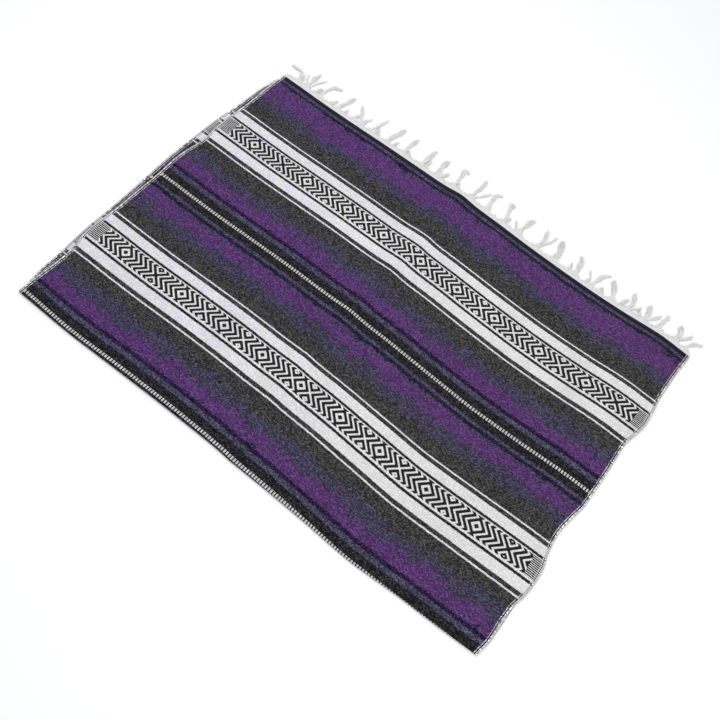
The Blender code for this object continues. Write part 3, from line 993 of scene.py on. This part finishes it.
    def build_tassels(self, material: Material) -> Object:
        """Builds all the tassels' yarns and loose fibres as one piece."""
        rng = random.Random(self.name)
        lines = []
        for path in self.paths:
            for n in range(path.yarns):
                slot = n - (path.yarns - 1) / 2
                lines.append(self.tapered(self.yarn(path, slot, rng), rng.uniform(0.8, 1.15)))
            fine = path._replace(stations=12)
            for _ in range(self.hairs):
                slot = rng.uniform(-2.0, 2.0)
                lines.append(self.tapered(self.yarn(fine, slot, rng, loose=1.6), 0.35))
        for _ in range(self.strays):
            root = rng.uniform(20 * MM, self.form.width - 20 * MM)
            lean, length = rng.gauss(0.0, 5.0) * MM, rng.uniform(4.0, 14.0) * MM
            stray = Path(root, 0.0, lean, length, 2 * MM, yarns=1, stations=9)
            lines.append(self.tapered(self.yarn(stray, 0.0, rng), rng.uniform(0.5, 0.9)))
        name = f"{self.name}_tassels"
        return add_piece(name, mesh_of_lines(name, lines, self.yarn_radius, resolution=1), material)

    @staticmethod
    def tapered(points: Array, size: float) -> Line:
        """A yarn's points with its sizes there, smaller at its free end."""
        share = np.linspace(0.0, 1.0, len(points))
        return points, size * lerp(1.0, 0.45, ease((share - 0.8) / 0.2))


@dataclass
class SelvageCord:
    """The firm outermost cord of one woven edge, from hem to hem round the fold.

    Args:
        cloth: The cloth that it edges.
        share: 0 for the left edge and 1 for the right one.
        radius: The cord's radius.
    """

    cloth: FoldedCloth
    share: float
    radius: float = 0.95 * MM

    def build(self, name: str, material: Material) -> Object:
        """Builds the cord with its material."""
        along = np.arange(self.cloth.stations + 1) / self.cloth.stations
        points = self.cloth.points(np.full_like(along, self.share), along)
        places = np.column_stack([points.x, points.v, points.z]) + np.array(self.cloth.shift)
        mesh = mesh_of_lines(name, [(places, 1.0)], self.radius, resolution=2)
        return add_piece(name, mesh, material)


def operator(operation: str, swapped: bool = False) -> Callable[..., "Value"]:
    """An operator of shader values that adds a Math node.

    Args:
        operation: The node's operation.
        swapped: Whether the value that has the operator comes last.

    Returns:
        A method that gives the node's result.
    """

    def apply(value: "Value", *others: Operand) -> "Value":
        """Adds the node and gives its result."""
        values = (*others, value) if swapped else (value, *others)
        return value.graph.math(operation, *values)

    return apply


class Value:
    """A shader value, so that sums of it are written as with plain numbers."""

    def __init__(self, graph: "Graph", socket: bpy.types.NodeSocket) -> None:
        """Keeps the graph and the socket that gives the value."""
        self.graph, self.socket = graph, socket

    __add__ = operator("ADD")
    __sub__ = operator("SUBTRACT")
    __rsub__ = operator("SUBTRACT", swapped=True)
    __mul__ = operator("MULTIPLY")
    __truediv__ = operator("DIVIDE")
    __mod__ = operator("FLOORED_MODULO")
    __pow__ = operator("POWER")
    __lt__ = operator("LESS_THAN")
    __gt__ = operator("LESS_THAN", swapped=True)
    __abs__ = operator("ABSOLUTE")
    __floor__ = operator("FLOOR")


class Graph:
    """Adds and links the shader nodes of one material."""

    def __init__(self, name: str) -> None:
        """Starts a material with a Principled shader."""
        self.material = bpy.data.materials.new(name)
        self.material.use_nodes = True
        self.tree = self.material.node_tree
        self.shader = self.tree.nodes["Principled BSDF"]

    def node(self, kind: str, **settings: object) -> bpy.types.Node:
        """Adds a node and gives it its settings."""
        made = self.tree.nodes.new(kind)
        for name, value in settings.items():
            setattr(made, name, value)
        return made

    def feed(self, socket: bpy.types.NodeSocket, value: Union[Operand, Tint]) -> None:
        """Links a socket, or sets its number or colour."""
        if isinstance(value, Value):
            self.tree.links.new(value.socket, socket)
        elif socket.type == "RGBA":
            socket.default_value = (*value, 1.0)[:4]
        else:
            socket.default_value = value

    def result(self, made: bpy.types.Node, *values: Union[Operand, Tint], of: Union[int, str] = 0) -> Value:
        """Feeds a node's first inputs and takes one of its results."""
        for socket, value in zip(made.inputs, values):
            self.feed(socket, value)
        return Value(self, made.outputs[of])

    def math(self, operation: str, *values: Operand) -> Value:
        """A Math node's result."""
        return self.result(self.node("ShaderNodeMath", operation=operation), *values)

    def dash(self, value: Value, pitch: float, share: float) -> Value:
        """1 over the first share of each pitch."""
        return self.math("FRACT", value / pitch) < share

    def humps(self, count: Value) -> Value:
        """Round humps from 0 to 1, one between each two whole numbers."""
        return abs(self.math("SINE", count * math.pi))

    def choose(self, switch: Value, where_one: Value, where_zero: Value) -> Value:
        """The first value where the switch is 1, and the second where it is 0."""
        return switch * where_one + (1.0 - switch) * where_zero

    def span(self, value: Value, start: float, end: float, low: float = 0.0, high: float = 1.0) -> Value:
        """A value mapped from a span of its own to another, and held at its ends."""
        return self.result(self.node("ShaderNodeMapRange"), value, start, end, low, high)

    def mix(self, share: Value, a: Tint, b: Tint) -> Value:
        """A colour a share of the way from one to another."""
        made = self.node("ShaderNodeMix", data_type="RGBA")
        for index, value in ((0, share), (6, a), (7, b)):
            self.feed(made.inputs[index], value)
        return Value(self, made.outputs[2])

    def scaled(self, colour: Tint, factor: Value) -> Value:
        """A colour made lighter or darker by a factor."""
        made = self.node("ShaderNodeVectorMath", operation="SCALE")
        self.feed(made.inputs["Scale"], factor)
        return self.result(made, colour)

    def cast(self, colour: Value, factors: Colour) -> Value:
        """A colour with each channel times a factor of its own."""
        return self.result(self.node("ShaderNodeVectorMath", operation="MULTIPLY"), colour, factors)

    def lightness(self, colour: Value) -> Value:
        """How light a colour is, from 0 to 1."""
        return self.result(self.node("ShaderNodeRGBToBW"), colour)

    def object_place(self) -> Value:
        """The place on the piece in the frame."""
        return self.result(self.node("ShaderNodeTexCoord"), of="Object")

    def woven_place(self) -> tuple[Value, Value]:
        """The two coordinates of the piece's own UV map, in metres."""
        parts = self.node("ShaderNodeSeparateXYZ")
        t = self.result(parts, self.result(self.node("ShaderNodeUVMap", uv_map="Weave")))
        return t, Value(self, parts.outputs[1])

    def vector(self, x: Operand, y: Operand, z: float = 0.0) -> Value:
        """A vector of three values."""
        return self.result(self.node("ShaderNodeCombineXYZ"), x, y, z)

    def noise(self, place: Value, scale: float, detail: float = 2.0, rough: float = 0.5) -> Value:
        """Soft noise from 0 to 1."""
        made = self.node("ShaderNodeTexNoise", noise_dimensions="3D")
        for name, value in (("Vector", place), ("Scale", scale), ("Detail", detail), ("Roughness", rough)):
            self.feed(made.inputs[name], value)
        return Value(self, made.outputs["Fac"])

    def grain(self, place: Value) -> Value:
        """A number from 0 to 1 for each whole place."""
        return self.result(self.node("ShaderNodeTexWhiteNoise", noise_dimensions="3D"), place, of="Value")

    def ramp(self, factor: Value, stops: Stops) -> tuple[Value, Value]:
        """The colour and the alpha of a ramp through stops of a place and a colour with alpha."""
        made = self.node("ShaderNodeValToRGB")
        made.color_ramp.interpolation = "LINEAR"
        elements = made.color_ramp.elements
        while len(elements) > 1:
            elements.remove(elements[-1])
        elements[0].position, elements[0].color = stops[0]
        for position, colour in stops[1:]:
            elements.new(position).color = colour
        return self.result(made, factor), Value(self, made.outputs[1])

    def bump(self, height: Value, distance: float, strength: float) -> None:
        """Raises the surface's shading by a height."""
        made = self.node("ShaderNodeBump")
        for name, value in (("Strength", strength), ("Distance", distance), ("Height", height)):
            self.feed(made.inputs[name], value)
        self.feed(self.shader.inputs["Normal"], Value(self, made.outputs[0]))

    def surface(self, colour: Tint, roughness: float, sheen: float, sheen_rough: float) -> None:
        """Sets the shader's colour, roughness and sheen."""
        self.feed(self.shader.inputs["Base Color"], colour)
        self.shader.inputs["Roughness"].default_value = roughness
        self.shader.inputs["Specular IOR Level"].default_value = 0.2
        self.shader.inputs["Sheen Weight"].default_value = sheen
        self.shader.inputs["Sheen Roughness"].default_value = sheen_rough


def linear(channel: float) -> float:
    """A display channel, 0 to 255, as scene-linear light."""
    share = channel / 255.0
    if share <= 0.04045:
        return share / 12.92
    return ((share + 0.055) / 1.055) ** 2.4


def lit(colour: Sequence[float]) -> Colour:
    """A display colour, 0 to 255, as scene-linear light."""
    return tuple(linear(channel) for channel in colour)


def plain(yarn: Yarn) -> Colour:
    """A yarn's scene-linear colour alone."""
    return lit(YARN_TONES[yarn][:3])


def tone(yarn: Yarn) -> tuple[float, float, float, float]:
    """A yarn's scene-linear colour, with its heather as alpha."""
    return (*plain(yarn), YARN_TONES[yarn].heather)


def stripe_stops(stripes: Sequence[Stripe], start: float, end: float) -> Stops:
    """The ramp stops of the stripes between two places in mm, as shares of that run."""
    stops = []
    for before, stripe in zip(stripes, stripes[1:]):
        if not start < stripe.start < end:
            continue
        if not stops:
            stops.append((0.0, tone(before.yarn)))
        for edge, yarn in ((-0.5, before.yarn), (0.5, stripe.yarn)):
            stops.append(((stripe.start + edge * stripe.soft - start) / (end - start), tone(yarn)))
    return stops


class Weaving(NamedTuple):
    """The shader values that place a point in the weave.

    They are t, s, the weft's number, the bead's number along it, the place within the repeat, and the
    distance from the nearer end.
    """

    t: Value
    s: Value
    row: Value
    column: Value
    q: Value
    from_end: Value


@dataclass(frozen=True)
class WeaveFinish:
    """The striped weave on the weave coordinates.

    Args:
        warp_pitch: The distance between two ribs.
        weft_pitch: The distance between two wefts.
        relief: The height of the ribs.
        dash_pitch: The distance between two dots of the dotted stripe.
        dash_share: The white share of it.
        dash_half: Half the height of that stripe.
        dash_white: The colour of its dots.
        band_middle: The patterned stripe's middle, from the dots.
        band_half: Half its height.
        mirror: Where the pattern turns back on itself, from its middle.
        period: The chevrons' period.
        cells: The steps in a period.
        ink: The black share of it.
        dot_ink: How much less black there is in the smallest rings.
        light_dot: The size of the smallest rings of the diamonds, in periods.
        dark_dot: The same where black arms cross.
        first_diamond: The first diamond's place along the weft.
        period_slope: Periods for each metre at the first diamond.
        period_bend: How much fewer they get with the square of the distance.
        hatch_left: Where the left hatched block ends.
        hatch_right: Where the right one starts.
        hatch_pitch: The distance between two of their lines.
        hatch_share: The black share of it.
        blotch: How far the soft stripes' edges stray in broad flames.
        tuft: How far single beads stray over them.
        tooth: The depth of the flames' teeth.
        tooth_pitch: The distance between two of them.
        jitter: How far a bead strays over every edge.
        end_firm: Within this distance of an end nothing strays.
        end_loose: Beyond this distance all strays.
        lilac: The cast of the tinted patches.
        tint_scale: How small these patches are.
        tint_share: How strong their cast is.
        rim: The width of the selvage's pale rim.
        rim_colour: Its colour.
        dark_edge: Where the dark line beside it ends.
        pale_edge: Where the pale line beside that one ends.
    """

    warp_pitch: float = 3.7 * MM
    weft_pitch: float = 1.9 * MM
    relief: float = 0.45 * MM
    dash_pitch: float = 7.46 * MM
    dash_share: float = 0.6
    dash_half: float = 4.1 * MM
    dash_white: Colour = (0.56, 0.56, 0.56)
    band_middle: float = 234.5 * MM
    band_half: float = 24.8 * MM
    mirror: float = 19.6 * MM
    period: float = 14.9 * MM
    cells: float = 8.0
    ink: float = 0.515
    dot_ink: float = 0.12
    light_dot: float = 0.85
    dark_dot: float = 0.8
    first_diamond: float = 105 * MM
    period_slope: float = 68.884
    period_bend: float = 1.969
    hatch_left: float = 34.7 * MM
    hatch_right: float = 1240.2 * MM
    hatch_pitch: float = 4.5 * MM
    hatch_share: float = 0.66
    blotch: float = 12 * MM
    tuft: float = 3.5 * MM
    tooth: float = 14 * MM
    tooth_pitch: float = 35 * MM
    jitter: float = 0.5 * MM
    end_firm: float = 26 * MM
    end_loose: float = 38 * MM
    lilac: Colour = (0.985, 0.935, 1.15)
    tint_scale: float = 38.0
    tint_share: float = 0.85
    rim: float = 3.4 * MM
    rim_colour: Colour = (0.64, 0.64, 0.65)
    dark_edge: float = 5.9 * MM
    pale_edge: float = 7.8 * MM

    def build(self, width: float, end_line: float) -> Material:
        """Builds the material.

        Args:
            width: The woven width.
            end_line: The distance of each hem from the dotted stripe at the fold.

        Returns:
            The material.
        """
        g = Graph("striped_weave_finish")
        t, s = g.woven_place()
        row = math.floor(s / self.weft_pitch)
        rib = t / self.warp_pitch + row % 2.0 * 0.5
        at = Weaving(t, s, row, math.floor(rib), s % REPEAT, end_line - abs(s))
        colour, heather = self.stripes(g, at)
        colour = self.tinted(g, at, colour)
        pattern, is_pattern = self.pattern(g, at)
        colour = g.mix(is_pattern, colour, pattern)
        dash, is_dash = self.dashes(g, at)
        colour = g.mix(is_dash * (at.from_end > END_RUN), colour, dash)
        heather = heather * (1.0 - is_dash * 0.8)
        colour = self.selvage(g, t, width, colour)
        height = g.humps(rib) ** 0.6 * g.humps(s / self.weft_pitch) ** 0.6
        # The bead height that also drives the bump scales the colour to 0.62 in the grooves between the
        # beads (painted shade) and to 1.06 on their tops (painted light). The specks and the broad noise
        # vary the yarns' own tone.
        shade = self.specks(g, at, colour, heather) * g.span(height, 0.0, 0.7, 0.62, 1.06)
        place = g.vector(t, s)
        shade = shade * g.span(g.noise(place, 7.0, 3.0), 0.3, 0.7, 0.95, 1.05)
        g.surface(g.scaled(colour, shade), roughness=0.95, sheen=0.03, sheen_rough=0.5)
        g.bump(height + g.noise(place, 900.0, 3.0, 0.6) * 0.5, self.relief, 0.8)
        return g.material

    def specks(self, g: Graph, at: Weaving, colour: Value, heather: Value) -> Value:
        """The brightness of single fibres, which vary more on a dark yarn than on a light one."""
        bead = g.grain(g.vector(at.column, at.row))
        fine_column = math.floor(at.t / (0.5 * self.warp_pitch))
        fine_row = math.floor(at.s / (0.5 * self.weft_pitch))
        fibre = bead * 0.6 + g.grain(g.vector(fine_column, fine_row, 5.0)) * 0.4
        speck = fibre**2.5 * 4.2 - 0.9
        speck = speck * g.span(g.lightness(colour), 0.012, 0.04, 1.9, 1.0)
        return g.math("MAXIMUM", heather * speck + 1.0, 0.12)

    def tinted(self, g: Graph, at: Weaving, colour: Value) -> Value:
        """Lays a faint lilac cast in patches over the left part."""
        patches = g.noise(g.vector(at.t, at.s * 1.5), self.tint_scale, 0.0)
        tint = g.span(patches, 0.51, 0.6) * g.span(at.t, 0.25, 0.8, 1.0, 0.0)
        return g.mix(tint * self.tint_share, colour, g.cast(colour, self.lilac))

    def stray(self, g: Graph, at: Weaving) -> Value:
        """How far the loose edges of the stripes stray, in metres."""
        lobes = g.noise(g.vector(at.t, at.s * 1.4, 3.0), 15.0, 0.0)
        flames = g.noise(g.vector(at.t, at.s * 1.6), 34.0, 2.5, 0.7)
        zigzag = g.math("PINGPONG", at.t / self.tooth_pitch + lobes * 3.0, 0.5) - 0.25
        beads = g.grain(g.vector(at.column, at.row, 7.0))
        steps = g.grain(g.vector(math.floor(at.column * 0.34), math.floor(at.row * 0.3)))
        tufts = beads * 0.6 + steps * 0.4 - 0.5
        broad = (lobes + flames - 1.0) * (2.8 * self.blotch)
        return broad + (tufts * self.tuft + zigzag * (2.0 * self.tooth))

    def stripes(self, g: Graph, at: Weaving) -> tuple[Value, Value]:
        """The plain stripes' colour and heather."""
        stray = self.stray(g, at)
        stops = [(place * MM / REPEAT, (share, share, share, 1.0)) for place, share in LOOSE_RUNS]
        loose, _ = g.ramp(at.q / REPEAT, stops)
        jitter = (g.grain(g.vector(at.column, 3.0, 1.0)) - 0.5) * self.jitter
        strayed = at.q + jitter + stray * loose
        half = REPEAT / 2
        first, first_heather = g.ramp(strayed / half, stripe_stops(STRIPES, 0.0, half / MM))
        second_stops = stripe_stops(STRIPES, half / MM, REPEAT / MM)
        second, second_heather = g.ramp((strayed - half) / half, second_stops)
        is_first = strayed < half
        end_place = at.from_end + jitter + stray * g.span(at.from_end, self.end_firm, self.end_loose)
        end, end_heather = g.ramp(end_place / END_RUN, stripe_stops(END_STRIPES, 0.0, END_RUN / MM))
        is_end = at.from_end < END_RUN
        colour = g.mix(is_end, g.mix(is_first, second, first), end)
        heather = g.choose(is_first, first_heather, second_heather)
        return colour, g.choose(is_end, end_heather, heather)

    def pattern(self, g: Graph, at: Weaving) -> tuple[Value, Value]:
        """The diamonds' colour, and 1 where the patterned stripe is."""
        run = at.t - self.first_diamond
        periods = run * (self.period_slope - run * self.period_bend)
        place = (math.floor(periods * self.cells) + 0.5) / self.cells
        w = at.q - self.band_middle
        pick = self.period / self.cells
        away = abs((math.floor(w / pick) + 0.5) * pick)
        height = (self.mirror - abs(away - self.mirror)) / self.period
        ring = g.math("FRACT", self.nearest(g, place, DIAMONDS) + height)
        middles = [(spot, 0) for spot, _ in DIAMONDS[:-1]]
        light_dots = self.nearest(g, place, middles) + height < self.light_dot
        dark_limit = self.dark_dot - self.mirror / self.period
        dark_dots = self.nearest(g, place, DARK_CROSSINGS) - height < dark_limit
        limit = self.ink - (light_dots + dark_dots) * self.dot_ink
        outside = (at.t < self.hatch_left) + (at.t > self.hatch_right)
        is_black = g.choose(outside, g.dash(w, self.hatch_pitch, self.hatch_share), ring < limit)
        return g.mix(is_black, plain(Yarn.WHITE), plain(Yarn.BLACK)), abs(w) < self.band_half

    @staticmethod
    def nearest(g: Graph, place: Value, spots: Sequence[tuple[float, int]]) -> Value:
        """The least distance from some spots, in periods, with what each is ahead added."""
        found = None
        for spot, ahead in spots:
            away = abs(place - spot)
            away = away + float(ahead) if ahead else away
            found = away if found is None else g.math("MINIMUM", found, away)
        return found

    def dashes(self, g: Graph, at: Weaving) -> tuple[Value, Value]:
        """The dotted stripe's colour, and 1 where it is."""
        half = REPEAT / 2
        off = abs((at.q + half) % REPEAT - half)
        dash = g.dash(at.t, self.dash_pitch, self.dash_share)
        return g.mix(dash, plain(Yarn.BLACK), self.dash_white), off < self.dash_half

    def selvage(self, g: Graph, t: Value, width: float, colour: Value) -> Value:
        """Lays the selvage's pale rim, its dark line and its pale line over a colour."""
        from_edge = g.math("MINIMUM", t, width - t)
        on_dark = g.lightness(colour) < 0.3
        pale_line = (from_edge < self.pale_edge) * on_dark
        colour = g.mix(pale_line * 0.5, colour, plain(Yarn.WHITE))
        dark = (from_edge < self.dark_edge) * g.span(on_dark, 0.0, 1.0, 0.35, 1.0)
        colour = g.mix(dark, colour, plain(Yarn.BLACK))
        return g.mix(from_edge < self.rim, colour, self.rim_colour)


@dataclass(frozen=True)
class CottonFinish:
    """The warp's undyed yarn.

    Args:
        colour: Its display colour, 0 to 255.
        relief: The height of its fibres.
        fibres: How many fibres lie on a metre.
    """

    colour: Colour = (231.0, 231.0, 230.0)
    relief: float = 0.25 * MM
    fibres: float = 700.0

    def build(self, name: str) -> Material:
        """Builds the yarn's material."""
        g = Graph(name)
        place = g.object_place()
        fuzz = g.noise(place, self.fibres, 3.0, 0.6)
        worn = g.noise(place, 45.0, 2.0)
        base = lit(self.colour)
        # The colour falls towards nine tenths of the base where the fuzz that also raises the bump is low,
        # which is painted shade in the fibres' hollows. Where the worn noise is low it falls too, giving
        # greyer patches of the yarn's own tone.
        hollow_shade_and_grey = tuple(0.9 * channel for channel in base)
        light = g.span(fuzz, 0.3, 0.7) * g.span(worn, 0.25, 0.75, 0.6, 1.0)
        g.surface(g.mix(light, hollow_shade_and_grey, base), roughness=0.95, sheen=0.2, sheen_rough=0.6)
        g.bump(fuzz, self.relief, 0.7)
        return g.material


@dataclass(frozen=True)
class HeadingFinish:
    """The white heading's close warp ribs, with painted shade in the grooves between them, and one faint
    line of shade along it.

    Args:
        colour: Its display colour, 0 to 255.
        rib_pitch: The distance between two ribs.
        line: How far from the hem the faint line lies.
        relief: The height of the ribs.
    """

    colour: Colour = (229.0, 229.0, 228.0)
    rib_pitch: float = 1.85 * MM
    line: float = 9.5 * MM
    relief: float = 0.35 * MM

    def build(self) -> Material:
        """Builds the heading's material."""
        g = Graph("heading_finish")
        t, out = g.woven_place()
        place = g.vector(t, out)
        rib = g.humps(t / self.rib_pitch)
        worn = g.noise(place, 170.0, 3.0, 0.6)
        line = g.span(abs(out - self.line), 0.4 * MM, 1.6 * MM, 0.93, 1.0)
        # The ribs' height, which also drives the bump, darkens the colour between the ribs to 0.85: painted
        # shade in the grooves. The line is a painted line of shade, and the worn noise varies the heading's
        # own tone.
        shade = line * g.span(rib, 0.0, 0.5, 0.85, 1.0) * g.span(worn, 0.35, 0.65, 0.84, 1.06)
        g.surface(g.scaled(lit(self.colour), shade), roughness=0.95, sheen=0.2, sheen_rough=0.6)
        g.bump(rib + g.noise(place, 900.0, 3.0, 0.6) * 0.6, self.relief, 0.8)
        return g.material


@dataclass(frozen=True)
class Studio:
    """A pale floor, soft light and the camera at the photograph's angle.

    Args:
        plane: The height of the plane that the camera was solved on.
        eye: The camera's place in plan coordinates over that plane.
        right: The image's right in plan coordinates.
        down: The image's down in plan coordinates.
        focal: The focal length in pixels of the frame.
        frame: The frame's side in pixels.
        sensor: The sensor's side in mm.
        floor_size: The floor's side.
        floor_drop: How far under the blanket the floor lies.
        floor_colour: The floor's colour.
        sky_colour: The surroundings' colour.
        sky_strength: How bright they are.
    """

    plane: float = 5.3 * MM
    eye: Triple = (1.11587, -0.75154, 2.04100)
    right: Triple = (0.78532626, 0.59740437, 0.16239052)
    down: Triple = (0.59096837, -0.64526356, -0.48413977)
    focal: float = 1031.25
    frame: float = 720.0
    sensor: float = 36.0
    floor_size: float = 14.0
    floor_drop: float = 0.3 * MM
    floor_colour: Colour = (0.98, 0.98, 0.98)
    sky_colour: Colour = (0.975, 0.983, 1.0)
    sky_strength: float = 0.55

    def add_camera(self, shift: Vector) -> Object:
        """Adds the camera.

        Args:
            shift: From plan coordinates to the frame.

        Returns:
            The camera.
        """
        data = bpy.data.cameras.new("camera")
        data.sensor_width = self.sensor
        data.lens = self.focal / self.frame * self.sensor
        data.clip_start = 0.05
        data.clip_end = 60.0
        camera = add_object("camera", data)
        right, up = Vector(self.right), -Vector(self.down)
        turn = Matrix((right, up, right.cross(up))).transposed().to_4x4()
        place = Vector(self.eye) + shift + Vector((0.0, 0.0, self.plane))
        camera.matrix_world = Matrix.Translation(place) @ turn
        bpy.context.scene.camera = camera
        return camera

    def add_floor(self) -> Object:
        """Adds the floor just under the blanket."""
        bm = bmesh.new()
        bmesh.ops.create_grid(bm, x_segments=1, y_segments=1, size=self.floor_size / 2)
        bmesh.ops.translate(bm, verts=bm.verts, vec=(0.0, 0.0, -self.floor_drop))
        mesh = bpy.data.meshes.new("floor")
        bm.to_mesh(mesh)
        bm.free()
        g = Graph("floor_finish")
        g.surface(self.floor_colour, roughness=0.9, sheen=0.0, sheen_rough=0.5)
        floor = add_piece("floor", mesh, g.material)
        return floor

    @staticmethod
    def add_light(name: str, place: Triple, size: float, power: float) -> Object:
        """Adds a square soft light that looks at the blanket's middle."""
        data = bpy.data.lights.new(name, "AREA")
        data.shape = "SQUARE"
        data.size = size
        data.energy = power
        light = add_object(name, data)
        light.location = place
        light.rotation_mode = "QUATERNION"
        light.rotation_quaternion = (-Vector(place)).to_track_quat("-Z", "Y")
        return light

    def light_up(self) -> None:
        """Adds the lights and the pale surroundings."""
        self.add_light("softbox_over", (-0.5, 0.4, 3.2), 3.0, 62.0)
        self.add_light("softbox_side", (2.6, -1.6, 2.2), 2.0, 24.0)
        world = bpy.data.worlds.new("surroundings")
        world.use_nodes = True
        background = world.node_tree.nodes["Background"]
        background.inputs["Color"].default_value = (*self.sky_colour, 1.0)
        background.inputs["Strength"].default_value = self.sky_strength
        bpy.context.scene.world = world
        bpy.context.scene.view_settings.view_transform = "Standard"


def plan_shift() -> Vector:
    """From plan coordinates to the frame, from the cloth node's lowest corner."""
    low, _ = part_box("cloth")
    low_u = min(row.low_left for row in SIDES) * MM
    low_v = min(row.fold for row in CROSSINGS) * MM
    return Vector((low.x - low_u, low.y - low_v, 0.0))


def add_fringe(fringe: Fringe, node: str, heading: Material, cotton: Material) -> list[Object]:
    """Builds one fringe in place of its node.

    Args:
        fringe: The fringe.
        node: The CAD node that its pieces replace.
        heading: The heading's material.
        cotton: The tassels' material.

    Returns:
        Its two pieces.
    """
    pieces = [fringe.build_heading(heading), fringe.build_tassels(cotton)]
    for piece in pieces:
        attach(piece, "root")
        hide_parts(node)
    return pieces


def main() -> None:
    """Builds the blanket's looks in order."""
    logging.basicConfig(level=logging.INFO, format="%(name)s: %(message)s")
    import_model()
    shift = plan_shift()
    form = BlanketForm()
    studio = Studio()
    studio.add_camera(shift)
    studio.add_floor()
    studio.light_up()
    weave = WeaveFinish().build(form.width, form.end_line)
    heading = HeadingFinish().build()
    cotton = CottonFinish().build("tassel_finish")
    edging = CottonFinish(colour=(186.0, 185.0, 190.0)).build("selvage_finish")
    folded = FoldedCloth(form, shift)
    cloth = folded.build(weave)
    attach(cloth, "root")
    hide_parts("cloth")
    cords = []
    for name, share in (("selvage_left", 0.0), ("selvage_right", 1.0)):
        cord = SelvageCord(folded, share).build(name, edging)
        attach(cord, "root")
        cords.append(cord)
    upper = Fringe(form, shift, "fringe_upper", False, upper_paths())
    lower = Fringe(form, shift, "fringe_lower", True, lower_paths(form.width))
    ends = add_fringe(upper, "fringe_upper", heading, cotton)
    ends += add_fringe(lower, "fringe_lower", heading, cotton)
    for piece in [cloth, *cords, *ends]:
        log.info("%s has %d faces", piece.name, len(piece.data.polygons))


if __name__ == "__main__":
    main()
